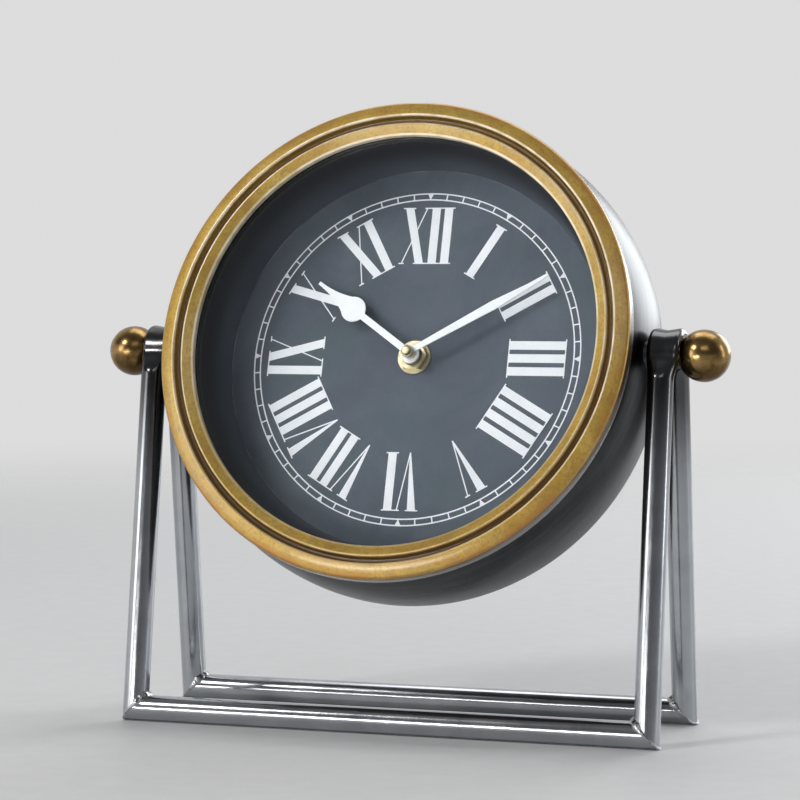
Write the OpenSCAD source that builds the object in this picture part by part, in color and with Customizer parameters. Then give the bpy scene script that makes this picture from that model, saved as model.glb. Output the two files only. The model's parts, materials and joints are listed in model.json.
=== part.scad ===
// Desk clock: a spun drum case with a brass bezel, tilting on a bent tube stand.
// Millimetres. Z is up, the table is z = 0 and the pivot axis runs along X above the origin.
// Case pieces are drawn with the pivot axis at x, the dial's top at y and its front at z,
// then leant back into place.

/* [Stand] */
// Outside diameter of the stand's tube
tube_diameter = 10.5; // [9:0.1:12]
// Wall of the stand's tube
tube_wall = 1.2; // [0.8:0.1:1.6]
// Height of the pivot axis above the table
pivot_height = 152; // [140:1:170]
// Pivot axis to the front base bar, measured along the table
front_reach = 34; // [28:1:44]
// Pivot axis to the rear base bar, measured along the table
rear_reach = 26; // [22:1:40]
// Space between the drum's widest ring and the leg tubes' flattened bends
leg_gap = 0.8; // [0.5:0.1:3]
// Outside diameter of the sleeve that each leg tube is bent over
sleeve_diameter = 12; // [10:0.5:14]
// Thickness left where the leg tube is flattened in its bend
bend_thickness = 5.2; // [4:0.1:7]
// How far the sleeve's ends stay inside the sides of that bend
sleeve_inset = 1.06; // [0.6:0.02:1.2]
// Length over which a leg goes from round to flattened
flatten_length = 9; // [5:0.5:14]

/* [Pivot] */
// Diameter of the pivot bolts
bolt_diameter = 6; // [5:0.5:7]
// Width across the flats of the bolt heads
bolt_flats = 10; // [9:0.5:12]
// Height of the bolt heads
bolt_head = 4; // [3:0.5:5]
// Thickness of the pads behind the drum's wall, at the bolt
pad_thickness = 3; // [2:0.5:4]
// Diameter of those pads
pad_diameter = 18; // [15:1:22]
// Thickness of the washers under the ball knobs
washer_thickness = 0.8; // [0.5:0.1:1.2]
// Diameter of the ball knobs
ball_diameter = 21; // [19:0.5:24]
// How far each bolt reaches past the middle of its ball knob
bolt_grip = 3; // [1:0.5:5]

/* [Drum] */
// How far the dial leans back from upright
case_tilt = 18; // [0:1:30]
// Radius of the drum's widest ring
drum_radius = 102; // [98:0.5:108]
// Radius of the bulge in the drum's side, seen in section
drum_bulge = 100; // [80:5:160]
// Thickness of the drum's sheet
drum_wall = 1; // [0.8:0.1:1.4]
// Pivot axis forward to the drum's front
drum_front = 17.5; // [16:0.5:20]
// Pivot axis back to the drum's widest ring
drum_widest = 10.5; // [6:0.5:14]
// Pivot axis back to the drum's back
drum_back = 30.5; // [30:0.5:36]
// Round-over between the drum's side and back
drum_corner = 8; // [5:0.5:11]
// Width of the flange turned in at the drum's front
front_flange = 5.6; // [5:0.1:7]
// Width of the flat left round the opening in the drum's back
back_flange = 19.2; // [16:0.2:30]

/* [Bezel and glass] */
// How far the bezel's rim lies inside the drum's widest ring
bezel_setback = 2; // [0:0.5:4]
// Space between the drum's front and the bezel's rim
bezel_gap = 1.5; // [1:0.1:2.5]
// Depth of the bezel's rim
bezel_depth = 8.5; // [7:0.1:9]
// Width of the bezel's outer band
outer_band = 6.5; // [5:0.1:7]
// Width of the groove between the bezel's bands
groove_width = 2.5; // [1.6:0.1:3]
// Depth of that groove
groove_depth = 3.4; // [2.8:0.1:4]
// Rounding of the bezel's outer edge
rim_round = 3.2; // [2:0.1:4]
// Rounding of the bands along the groove
band_round = 0.8; // [0.4:0.1:1.2]
// Width of the bezel's inner band
inner_band = 5; // [4:0.1:6]
// How far the inner band falls back towards the glass
band_fall = 3; // [2:0.1:4]
// Thickness of the lip that holds the glass
lip_thickness = 2.2; // [1.5:0.1:2.6]
// Wall of the collar that plugs the bezel into the drum
collar_wall = 2.2; // [1.6:0.1:2.6]
// Length of that collar inside the drum
collar_length = 4; // [3:0.5:6]
// Width of the step that seats the bezel on the drum
step_width = 2; // [1:0.1:3]
// Thickness of the glass
glass_thickness = 2.5; // [2:0.1:3]
// Thickness of the seal in front of the glass
seal_thickness = 0.5; // [0.3:0.1:0.8]

/* [Dial] */
// Pivot axis back to the dial's face
dial_depth = 7.4; // [4:0.2:8]
// Thickness of the dial plate
dial_thickness = 0.8; // [0.6:0.1:1.2]
// How far the dark surround leans in between the glass and the dial
surround_slope = 5; // [3:0.5:8]
// Sheet thickness of the surround
surround_wall = 1.2; // [0.8:0.1:1.6]
// Thickness of the printed marks
print_thickness = 0.12; // [0.1:0.01:0.2]
// Space between the surround's foot and the minute track
track_margin = 9.6; // [6:0.2:14]
// Width of the minute track
track_width = 3.2; // [2.4:0.1:4]
// Thickness of the track's lines
track_line = 0.55; // [0.3:0.05:0.8]
// Width of the small triangles at the hours
hour_mark = 2.6; // [1.6:0.1:3.2]
// Space between the minute track and the numerals
numeral_gap = 3.2; // [2:0.2:6]
// Height of the numerals
numeral_height = 24.6; // [20:0.2:26]
// Thick strokes of the numerals
thick_stroke = 3.6; // [2.5:0.1:4]
// Thin strokes and serifs of the numerals
thin_stroke = 0.5; // [0.4:0.05:0.8]
// Width of the brackets that hold the dial
bracket_width = 14; // [10:0.5:18]
// Sheet thickness of those brackets
bracket_thickness = 1.2; // [1:0.1:1.6]
// Length of each bracket's foot along the drum's wall
bracket_foot = 8; // [6:0.5:9]
// Diameter of the small screws
screw_diameter = 3; // [2.5:0.1:3.5]
// Diameter of the small screws' heads
screw_head = 5.6; // [5:0.1:6]
// Height of the small screws' heads
screw_head_height = 1.7; // [1.4:0.1:2]

/* [Back cover] */
// How far the back cover overlaps the drum's back
cover_overlap = 7; // [6.4:0.2:9]
// Thickness of the back cover
cover_thickness = 0.8; // [0.6:0.1:1.2]
// Space round the movement in the cover's window
window_margin = 3; // [2:0.5:6]

/* [Hands] */
// Hour hand at rest, clockwise from twelve
hour_angle = 305; // [0:5:355]
// Minute hand at rest, clockwise from twelve
minute_angle = 60; // [0:6:354]
// Length of the hour hand
hour_length = 53; // [48:0.5:58]
// Centre of the hour hand's disc
disc_centre = 33; // [28:0.5:36]
// Radius of that disc
disc_radius = 5.4; // [4:0.1:7]
// Width of the hour hand's stem
stem_width = 2.9; // [2:0.1:4]
// Width of the hour hand's tip
hour_tip = 1.5; // [1:0.1:2]
// Space between the minute hand's tip and the minute track
minute_gap = 2.2; // [1:0.2:6]
// Widest part of the minute hand, from the centre
leaf_centre = 40; // [32:0.5:46]
// Width of the minute hand there
leaf_width = 3.9; // [3:0.1:5]
// Width of the minute hand at its hub
leaf_root = 2.2; // [1.6:0.1:3]
// Width of the minute hand's tip
minute_tip = 0.7; // [0.5:0.1:1.2]
// Thickness of both hands
hand_thickness = 0.6; // [0.4:0.1:0.8]
// Dial face to the back of the hour hand
hour_lift = 5.4; // [5.2:0.1:6]
// Dial face to the back of the minute hand
minute_lift = 8; // [7.6:0.1:9]
// Height of the nut on the hands
hand_nut_height = 3.2; // [2.6:0.1:4]

/* [Movement] */
// Side of the square movement
movement_size = 56; // [55:0.5:58]
// Depth of the movement
movement_depth = 16; // [16:0.2:17]
// Wall of the movement's case
movement_wall = 1.2; // [1:0.1:1.4]
// Thickness of the rubber washer between movement and dial
rubber_thickness = 1; // [0.6:0.1:1.4]
// Outside diameter of the threaded bush
bush_diameter = 8; // [7.6:0.1:8.4]
// How far the bush stands above the dial
bush_height = 4.6; // [4:0.1:5]
// Diameter of the washer on the dial
dial_washer = 14.6; // [13:0.1:16]
// Width across the flats of the nut on the dial
nut_flats = 11; // [10:0.1:12]
// Height of that nut
nut_height = 2.4; // [2:0.1:2.8]
// Diameter of the battery
battery_diameter = 14.2; // [13.8:0.1:14.4]
// Diameter of the setting knob
knob_diameter = 11; // [9:0.5:13]
// Height of the setting knob
knob_height = 3.6; // [3:0.2:4]

/* [Clearances] */
// Running fit, all round and end to end, of pieces that turn on each other
running_clearance = 0.05; // [0.03:0.01:0.08]
// Room round pieces that are put in by hand
assembly_clearance = 0.4; // [0.2:0.05:0.6]

/* [Hidden] */
$fn = 96;

// Extra length that lets a cutting shape pass right through
overcut = 1;

// Stand
tube_radius = tube_diameter / 2;
sleeve_radius = sleeve_diameter / 2;
// The tube keeps its girth where it is flattened, so it grows wider there
bend_width = bend_thickness + PI * (tube_diameter - bend_thickness) / 2;
leg_x = drum_radius + leg_gap + bend_width / 2;
sleeve_length = bend_width - 2 * sleeve_inset;
// Each leg's centre line touches a circle of this radius round the pivot axis
leg_offset = sleeve_radius + tube_radius;
// How far the flattening stretch of a leg runs into the stretches that it joins
bend_lap = 0.2;
// How far it stays inside their surfaces
flatten_inset = 0.2;
pivot_rise = pivot_height - tube_radius;

function leg_span(reach) = sqrt(reach * reach + pivot_rise * pivot_rise);
function leg_lean(reach) = atan2(reach, pivot_rise) - asin(leg_offset / leg_span(reach));
function leg_length(reach) = sqrt(pow(leg_span(reach), 2) - pow(leg_offset, 2));

// Pivot
bolt_radius = bolt_diameter / 2;
turning_bore = bolt_radius + running_clearance;
sleeve_inner_end = leg_x - sleeve_length / 2;
sleeve_outer_end = leg_x + sleeve_length / 2;
washer_outer_end = sleeve_outer_end + running_clearance + washer_thickness;
ball_seat = washer_outer_end + running_clearance;
seat_margin = 0.8;
seat_radius = sleeve_radius + seat_margin;
ball_radius = ball_diameter / 2;
ball_centre = ball_seat + sqrt(pow(ball_radius, 2) - pow(seat_radius, 2));
bolt_end = ball_centre + bolt_grip;

// Drum outline: a bulging side that runs into a rounded corner and a flat back
bulge_axis = drum_radius - drum_bulge;
corner_z = drum_corner - drum_back;
corner_r = bulge_axis + sqrt(pow(drum_bulge - drum_corner, 2) - pow(corner_z + drum_widest, 2));
corner_turn = atan2(corner_z + drum_widest, corner_r - bulge_axis);

function arc(centre, radius, from, to, steps) = [
    for (i = [0 : steps])
        let (a = from + (to - from) * i / steps)
        centre + radius * [cos(a), sin(a)]
];
function drum_r(z) = bulge_axis + sqrt(pow(drum_bulge, 2) - pow(z + drum_widest, 2));
function drum_outline(inset) = concat(
    [[0, inset - drum_back]],
    arc([corner_r, corner_z], drum_corner - inset, -90, corner_turn, 8),
    arc(
        [bulge_axis, -drum_widest], drum_bulge - inset, corner_turn,
        asin((drum_front - inset + drum_widest) / (drum_bulge - inset)), 16
    ),
    [[0, drum_front - inset]]
);
pad_face = drum_r(0) - drum_wall - pad_thickness;
// The pads' curved faces stay this far inside the drum's sheet
pad_clearance = 0.03;
back_opening = corner_r - back_flange;

// Bezel and glass
flange_bore = drum_r(drum_front) - front_flange;
collar_bore = flange_bore - collar_wall;
bezel_radius = drum_radius - bezel_setback;
bezel_back = drum_front + bezel_gap;
bezel_front = bezel_back + bezel_depth;
groove_outer = bezel_radius - outer_band;
groove_inner = groove_outer - groove_width;
groove_radius = groove_width / 2;
lens_radius = groove_inner - inner_band;
lip_front = bezel_front - band_fall;
lip_back = lip_front - lip_thickness;
glass_front = lip_back - seal_thickness;
glass_back = glass_front - glass_thickness;
glass_radius = collar_bore - assembly_clearance;

// Dial
dial_front = -dial_depth;
dial_back = dial_front - dial_thickness;
dial_radius = flange_bore - 2 * assembly_clearance;
surround_foot = lens_radius - surround_slope;
surround_top = lens_radius + assembly_clearance;
surround_flange = glass_radius - assembly_clearance;
dial_screw_circle = (surround_foot + surround_wall + dial_radius) / 2;
bracket_back = dial_back - bracket_thickness;
screw_radius = screw_diameter / 2;
bracket_places = [45 : 90 : 315];
track_radius = surround_foot - track_margin;
track_inner = track_radius - track_width;
numeral_foot = track_inner - numeral_gap - numeral_height;
// How far serifs reach past a stroke, and the space between a numeral's letters
serif_reach = 0.9;
stroke_gap = 1.9;
// Width that V and X have beyond their two strokes
v_opening = 3.2;
x_opening = 4.7;
// How far each bracket reaches inward past its screw
bracket_reach = 5;

// Back cover
cover_front = -drum_back;
cover_back = cover_front - cover_thickness;
cover_radius = back_opening + cover_overlap;
cover_screw_circle = back_opening + cover_overlap / 2;
cover_window = movement_size + 2 * window_margin;
cover_screw_length = 4;

// Movement, front to back
move_front = dial_back - rubber_thickness;
move_back = move_front - movement_depth;
works_front = move_front - movement_wall;
works_back = move_back + movement_wall;
half_move = movement_size / 2;
half_works = half_move - movement_wall;
bush_radius = bush_diameter / 2;
bush_top = dial_front + bush_height;
pipe_radius = 2.5;
pipe_bore = 1.6;
shaft_radius = pipe_bore - running_clearance;
stud_radius = 1.2;
pivot_radius = 0.4;
bearing_depth = 0.8;
pivot_depth = 0.6;
knob_shaft = 1;
corner_round = 3;

// Battery bay, along the movement's lower side
contact_room = 1.8;
contact_sheet = 0.4;
nub_length = 1.5;
nub_radius = 2.7;
battery_radius = battery_diameter / 2;
bay_half_length = half_works;
battery_length = 2 * (bay_half_length - contact_room) - nub_length;
bay_foot = -half_works;
bay_top = bay_foot + battery_diameter + 3 * assembly_clearance;
bay_middle = (bay_foot + bay_top) / 2;
works_foot = bay_top + movement_wall;
battery_axis = works_front - battery_radius;

// Wheels lie in six layers, counted from the front, between the housing and the circuit board
board_thickness = 1;
board_front = works_back + board_thickness;
wheel_thickness = 1;
pinion_extra = 0.2;
first_layer = 0.6;
last_gap = 1.3;
layer_room = works_front - board_front - first_layer - last_gap;
layer_pitch = (layer_room - wheel_thickness - pinion_extra) / 5;
hub_radius = 0.55;
function layer(k) = works_front - first_layer - layer_pitch * k;

// Tooth sizes of the motion work, of the centre wheel and of the rest of the going train
motion_module = 0.45;
centre_module = 0.23;
train_module = 0.2;

// Tooth counts
cannon_teeth = 10;
motion_teeth = 30;
motion_pinion_teeth = 8;
hour_teeth = 32;
centre_teeth = 64;
third_pinion_teeth = 8;
third_teeth = 60;
seconds_pinion_teeth = 8;
seconds_teeth = 60;
intermediate_pinion_teeth = 12;
intermediate_teeth = 60;
rotor_pinion_teeth = 10;

// Wheel axes, each a true centre distance from the one before it
function polar(distance, angle) = distance * [cos(angle), sin(angle)];
function centre_distance(module_size, a, b) = module_size * (a + b) / 2;
motion_way = 150;
third_way = 20;
seconds_way = 80;
intermediate_way = 120;
rotor_way = 180;
motion_axis = polar(centre_distance(motion_module, cannon_teeth, motion_teeth), motion_way);
third_axis = polar(centre_distance(centre_module, centre_teeth, third_pinion_teeth), third_way);
seconds_axis = third_axis
    + polar(centre_distance(train_module, third_teeth, seconds_pinion_teeth), seconds_way);
intermediate_axis = seconds_axis
    + polar(centre_distance(train_module, seconds_teeth, intermediate_pinion_teeth), intermediate_way);
rotor_axis = intermediate_axis
    + polar(centre_distance(train_module, intermediate_teeth, rotor_pinion_teeth), rotor_way);

// Turn of a wheel that puts its gap against the tooth of the wheel that it meets
function in_mesh(way, turn, teeth, next_teeth) =
    way + 180 - (180 - teeth * (way - turn)) / next_teeth;
motion_turn = in_mesh(motion_way, 0, cannon_teeth, motion_teeth);
hour_turn = in_mesh(motion_way + 180, motion_turn, motion_pinion_teeth, hour_teeth);
third_turn = in_mesh(third_way, 0, centre_teeth, third_pinion_teeth);
seconds_turn = in_mesh(seconds_way, third_turn, third_teeth, seconds_pinion_teeth);
intermediate_turn = in_mesh(intermediate_way, seconds_turn, seconds_teeth, intermediate_pinion_teeth);
rotor_turn = in_mesh(rotor_way, intermediate_turn, intermediate_teeth, rotor_pinion_teeth);

// Motor and circuit
magnet_radius = 2;
magnet_thickness = 1.6;
stator_front = layer(2);
stator_thickness = 0.8;
stator_margin = 1;
stator_width = 6;
core_width = 3;
core_z = stator_front + core_width / 2;
coil_radius = works_front - core_z - assembly_clearance;
coil_length = 13;
coil_axis_y = half_works - coil_radius - assembly_clearance;
bobbin_radius = 2.2;
stator_reach = 19;
stator_left = rotor_axis.x - stator_reach;
stator_right = rotor_axis.x + magnet_radius + stator_margin;
coil_middle = (stator_left + stator_right) / 2;
board_side_gap = 4;
board_foot_gap = 3;
board_left = intermediate_axis.x + board_side_gap;
board_foot = intermediate_axis.y + board_foot_gap;
crystal_radius = 1.5;
crystal_length = 8;

// Hands
hour_back = dial_front + hour_lift;
minute_back = dial_front + minute_lift;
hand_front = minute_back + hand_thickness;
minute_length = track_inner - minute_gap;
// Where the hour hand's blade leaves its disc, how deep it starts and how hollow its edges are
blade_angle = 52;
blade_lap = 0.2;
blade_hollow = 2.2;
blade_root = polar(disc_radius - blade_lap, blade_angle);
// Walls of the hand nut's foot and of its cap
nut_foot_wall = 1.4;
nut_cap_wall = 0.7;

// Leans the case, drawn with its dial facing +Z, back about the pivot axis
module in_case() {
    translate([0, 0, pivot_height])
        rotate([90 - case_tilt, 0, 0])
            children();
}

// Draws a piece on the right and its mirror image on the left
module both_sides() {
    children();
    mirror([1, 0, 0])
        children();
}

// A cylinder along X
module rod_x(from, to, radius) {
    translate([from, 0, 0])
        rotate([0, 90, 0])
            cylinder(h = to - from, r = radius);
}

// A cylinder along Z
module rod_z(from, to, radius) {
    translate([0, 0, from])
        cylinder(h = to - from, r = radius);
}

// A washer or ring along Z
module ring_z(from, to, radius, bore) {
    difference() {
        rod_z(from, to, radius);
        rod_z(from - overcut, to + overcut, bore);
    }
}

// Places one of the stand's two frames: its bar on the table, its legs leaning to the pivot
module in_frame(side, reach) {
    translate([0, side * reach, tube_radius])
        rotate([side * leg_lean(reach), 0, 0])
            children();
}

// The half space above the mitre at a frame's right corner
module mitre_half() {
    reach = 2 * pivot_height;
    translate([leg_x, 0, 0])
        rotate([0, 45, 0])
            translate([-reach, -reach, 0])
                cube([2 * reach, 2 * reach, reach]);
}

module base_bar(side, reach) {
    end = leg_x + tube_diameter;
    in_frame(side, reach)
        difference() {
            rod_x(-end, end, tube_radius);
            rod_x(-end - overcut, end + overcut, tube_radius - tube_wall);
            both_sides()
                mitre_half();
        }
}

module front_base_bar() {
    color("Gainsboro")
        base_bar(-1, front_reach);
}

module rear_base_bar() {
    color("Gainsboro")
        base_bar(1, rear_reach);
}

// Straight leg with its mitred foot, up to where it starts to flatten
module leg(side, reach) {
    top = leg_length(reach) - flatten_length + bend_lap;
    in_frame(side, reach)
        intersection() {
            translate([leg_x, 0, 0])
                ring_z(-tube_diameter, top, tube_radius, tube_radius - tube_wall);
            mitre_half();
        }
}

// Section of the flattened tube, x away from the pivot axis and y along it
module bend_section(inset) {
    side = (bend_width - bend_thickness) / 2;
    translate([sleeve_radius + inset, -side])
        square([bend_thickness - 2 * inset, 2 * side]);
    for (s = [-side, side])
        translate([sleeve_radius + bend_thickness / 2, s])
            circle(r = bend_thickness / 2 - inset);
}

// Leg going from round to flattened
module leg_flattening(side, reach) {
    slice = 0.01;
    top = leg_length(reach);
    in_frame(side, reach)
        hull() {
            translate([leg_x, 0, top - flatten_length])
                cylinder(h = slice, r = tube_radius - flatten_inset, $fn = 48);
            translate([leg_x, -side * leg_offset, top + bend_lap])
                linear_extrude(height = slice)
                    rotate(side * 90)
                        bend_section(flatten_inset, $fn = 48);
        }
}

// One bent tube with both legs of a side
module leg_tube() {
    rear_angle = leg_lean(rear_reach);
    sweep = 180 - leg_lean(front_reach) - rear_angle;
    leg(-1, front_reach);
    leg(1, rear_reach);
    leg_flattening(-1, front_reach);
    leg_flattening(1, rear_reach);
    translate([leg_x, 0, pivot_height])
        rotate([90, 0, 90])
            rotate(rear_angle)
                rotate_extrude(angle = sweep)
                    bend_section(0);
}

module right_leg_tube() {
    color("Gainsboro")
        leg_tube();
}

module left_leg_tube() {
    color("Gainsboro")
        mirror([1, 0, 0])
            leg_tube();
}

module pivot_sleeve() {
    translate([0, 0, pivot_height])
        difference() {
            rod_x(sleeve_inner_end, sleeve_outer_end, sleeve_radius);
            rod_x(sleeve_inner_end - overcut, sleeve_outer_end + overcut, turning_bore);
        }
}

module right_pivot_sleeve() {
    color("Silver")
        pivot_sleeve();
}

module left_pivot_sleeve() {
    color("Silver")
        mirror([1, 0, 0])
            pivot_sleeve();
}

module drum_solid(inset) {
    rotate(90)
        rotate_extrude()
            polygon(drum_outline(inset));
}

// The bulging side alone, as a true curve, near the pivot axis
module drum_side(inset) {
    rotate(90)
        rotate_extrude($fn = 720)
            intersection() {
                translate([bulge_axis, -drum_widest])
                    circle(r = drum_bulge - inset, $fn = 720);
                translate([drum_radius - pad_diameter, -pad_diameter])
                    square([2 * pad_diameter, 2 * pad_diameter]);
            }
}

module cover_screw_places() {
    for (a = bracket_places)
        rotate(a)
            translate([cover_screw_circle, 0, 0])
                children();
}

module case_drum() {
    color("SlateGray")
        in_case()
            difference() {
                rotate_extrude()
                    difference() {
                        polygon(drum_outline(0));
                        polygon(drum_outline(drum_wall));
                        square([flange_bore, drum_front + overcut]);
                        translate([0, -drum_back - overcut])
                            square([back_opening, drum_back]);
                    }
                both_sides()
                    rod_x(pad_face, drum_radius + overcut, bolt_radius);
                cover_screw_places()
                    rod_z(cover_front - overcut, cover_front + drum_wall + overcut, screw_radius);
            }
}

module bezel() {
    rim = bezel_radius - rim_round;
    edge = bezel_front - band_round;
    color("Goldenrod")
        in_case()
            rotate_extrude()
                polygon(concat(
                    [[lens_radius, lip_back], [lens_radius, lip_front]],
                    arc([groove_inner - band_round, edge - band_round], band_round, 90, 0, 4),
                    arc(
                        [groove_inner + groove_radius, bezel_front - groove_depth + groove_radius], groove_radius,
                        180, 360, 8
                    ),
                    arc([groove_outer + band_round, edge], band_round, 180, 90, 4),
                    arc([rim, bezel_front - rim_round], rim_round, 90, 0, 8),
                    [
                        [bezel_radius, bezel_back],
                        [flange_bore + step_width, bezel_back],
                        [flange_bore + step_width, drum_front],
                        [flange_bore, drum_front],
                        [flange_bore, drum_front - collar_length],
                        [collar_bore, drum_front - collar_length],
                        [collar_bore, lip_back]
                    ]
                ));
}

module glass() {
    color("AliceBlue", 0.3)
        in_case()
            rod_z(glass_back, glass_front, glass_radius);
}

module glass_seal() {
    color("DimGray")
        in_case()
            ring_z(glass_front, lip_back, glass_radius, lens_radius);
}

module dial_surround() {
    brim = glass_back - surround_wall;
    color("DarkSlateGray")
        in_case()
            rotate_extrude()
                polygon([
                    [surround_foot, dial_front],
                    [surround_top, brim],
                    [surround_top, glass_back],
                    [surround_flange, glass_back],
                    [surround_flange, brim],
                    [surround_top + surround_wall, brim],
                    [surround_foot + surround_wall, dial_front]
                ]);
}

module dial_screw_places() {
    for (a = bracket_places)
        rotate(a)
            translate([dial_screw_circle, 0, 0])
                children();
}

module dial_plate() {
    color("SlateGray")
        in_case()
            difference() {
                rod_z(dial_back, dial_front, dial_radius);
                rod_z(dial_back - overcut, dial_front + overcut, bush_radius);
                dial_screw_places()
                    rod_z(dial_back - overcut, dial_front + overcut, screw_radius);
            }
}

// Numerals, drawn upright with their feet on y = 0
function glyph_width(glyph) =
    glyph == "I" ? thick_stroke + stroke_gap :
    glyph == "V" ? 2 * thick_stroke + v_opening :
    2 * thick_stroke + x_opening;
function numeral_width(numeral, count) =
    count == 0 ? 0 : numeral_width(numeral, count - 1) + glyph_width(numeral[count - 1]);

module stroke(foot, top, foot_width, top_width) {
    polygon([
        [foot, 0],
        [foot + foot_width, 0],
        [top + top_width, numeral_height],
        [top, numeral_height]
    ]);
}

module serif(middle, height, width) {
    translate([middle - width / 2 - serif_reach, height])
        square([width + 2 * serif_reach, thin_stroke]);
}

module glyph(letter) {
    top = numeral_height - thin_stroke;
    left = stroke_gap / 2;
    right = glyph_width(letter) - stroke_gap / 2;
    if (letter == "I") {
        stroke(left, left, thick_stroke, thick_stroke);
        serif(left + thick_stroke / 2, 0, thick_stroke);
        serif(left + thick_stroke / 2, top, thick_stroke);
    }
    if (letter == "V") {
        foot = (left + right) / 2;
        stroke(foot, left, thin_stroke, thick_stroke);
        stroke(foot, right - thin_stroke, thin_stroke, thin_stroke);
        serif(left + thick_stroke / 2, top, thick_stroke);
        serif(right - thin_stroke / 2, top, thin_stroke);
    }
    if (letter == "X") {
        stroke(right - thick_stroke, left, thick_stroke, thick_stroke);
        stroke(left, right - thin_stroke, thin_stroke, thin_stroke);
        serif(left + thick_stroke / 2, top, thick_stroke);
        serif(right - thin_stroke / 2, top, thin_stroke);
        serif(right - thick_stroke / 2, 0, thick_stroke);
        serif(left + thin_stroke / 2, 0, thin_stroke);
    }
}

module numeral(letters) {
    half = numeral_width(letters, len(letters)) / 2;
    for (i = [0 : len(letters) - 1])
        translate([numeral_width(letters, i) - half, 0])
            glyph(letters[i]);
}

module hour_numerals() {
    hours = ["XII", "I", "II", "III", "IIII", "V", "VI", "VII", "VIII", "IX", "X", "XI"];
    color("White")
        in_case()
            for (i = [0 : 11])
                rotate(-30 * i)
                    translate([0, numeral_foot, dial_front])
                        linear_extrude(height = print_thickness)
                            numeral(hours[i]);
}

module minute_track() {
    color("White")
        in_case()
            translate([0, 0, dial_front])
                linear_extrude(height = print_thickness) {
                    for (r = [track_inner + track_line, track_radius])
                        difference() {
                            circle(r = r);
                            circle(r = r - track_line);
                        }
                    for (i = [0 : 59])
                        rotate(6 * i)
                            translate([-track_line / 2, track_inner + track_line / 2])
                                square([track_line, track_width - track_line]);
                    for (i = [0 : 11])
                        rotate(30 * i)
                            polygon([
                                [-hour_mark / 2, track_radius - track_line / 2],
                                [0, track_inner + track_line / 2],
                                [hour_mark / 2, track_radius - track_line / 2]
                            ]);
                }
}

module dial_brackets() {
    inner_end = dial_screw_circle - bracket_reach;
    foot = [drum_radius, bracket_width, bracket_foot];
    color("Silver")
        in_case()
            difference() {
                intersection() {
                    drum_solid(drum_wall);
                    for (a = bracket_places)
                        rotate(a) {
                            translate([inner_end, -bracket_width / 2, bracket_back])
                                cube([drum_radius, bracket_width, bracket_thickness]);
                            difference() {
                                translate([0, -bracket_width / 2, bracket_back - bracket_foot])
                                    cube(foot);
                                drum_solid(drum_wall + bracket_thickness);
                            }
                        }
                }
                dial_screw_places()
                    rod_z(bracket_back - overcut, dial_back + overcut, screw_radius);
            }
}

module dial_screws() {
    color("Silver")
        in_case()
            dial_screw_places() {
                rod_z(bracket_back - overcut, dial_front, screw_radius);
                rod_z(dial_front, dial_front + screw_head_height, screw_head / 2);
            }
}

module back_cover() {
    color("DimGray")
        in_case()
            difference() {
                rod_z(cover_back, cover_front, cover_radius);
                translate([-cover_window / 2, -cover_window / 2, cover_back - overcut])
                    cube([cover_window, cover_window, cover_thickness + 2 * overcut]);
                cover_screw_places()
                    rod_z(cover_back - overcut, cover_front + overcut, screw_radius);
            }
}

module back_cover_screws() {
    slot_width = 0.8;
    color("Silver")
        in_case()
            cover_screw_places()
                difference() {
                    union() {
                        rod_z(cover_back, cover_back + cover_screw_length, screw_radius);
                        rod_z(cover_back - screw_head_height, cover_back, screw_head / 2);
                    }
                    translate([-slot_width / 2, -screw_head, cover_back - screw_head_height])
                        cube([slot_width, 2 * screw_head, slot_width]);
                }
}

module pivot_pads() {
    color("Silver")
        in_case()
            both_sides()
                difference() {
                    intersection() {
                        rod_x(pad_face, drum_radius, pad_diameter / 2);
                        drum_side(drum_wall + pad_clearance);
                    }
                    rod_x(pad_face - overcut, drum_radius, bolt_radius);
                }
}

module pivot_bolts() {
    color("Silver")
        in_case()
            both_sides() {
                rod_x(pad_face, bolt_end, bolt_radius);
                translate([pad_face - bolt_head, 0, 0])
                    rotate([0, 90, 0])
                        cylinder(h = bolt_head, r = bolt_flats / 2 / cos(30), $fn = 6);
            }
}

module pivot_spacers() {
    color("DimGray")
        in_case()
            both_sides()
                difference() {
                    rod_x(pad_face, sleeve_inner_end - running_clearance, sleeve_radius);
                    drum_side(0);
                    rod_x(pad_face - overcut, sleeve_inner_end, bolt_radius);
                }
}

module knob_washers() {
    color("Peru")
        in_case()
            both_sides()
                difference() {
                    rod_x(washer_outer_end - washer_thickness, washer_outer_end, sleeve_radius);
                    rod_x(sleeve_outer_end, ball_seat, bolt_radius);
                }
}

module ball_knob() {
    in_case()
        difference() {
            translate([ball_centre, 0, 0])
                rotate([0, 90, 0])
                    sphere(r = ball_radius);
            rod_x(ball_seat - ball_diameter, ball_seat, ball_diameter);
            rod_x(ball_seat - overcut, bolt_end + running_clearance, turning_bore);
        }
}

module right_ball_knob() {
    color("Peru")
        ball_knob();
}

module left_ball_knob() {
    color("Peru")
        mirror([1, 0, 0])
            ball_knob();
}

// Square with rounded corners
module rounded_square(side, radius) {
    c = side / 2 - radius;
    polygon(concat(
        arc([c, c], radius, 0, 90, 4),
        arc([-c, c], radius, 90, 180, 4),
        arc([-c, -c], radius, 180, 270, 4),
        arc([c, -c], radius, 270, 360, 4)
    ));
}

// Bearing holes for the wheels' pivots, from one height to another
module bearing_holes(from, to) {
    for (p = [motion_axis, third_axis, seconds_axis, intermediate_axis, rotor_axis])
        translate(p)
            rod_z(from, to, pivot_radius + running_clearance);
}

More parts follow.
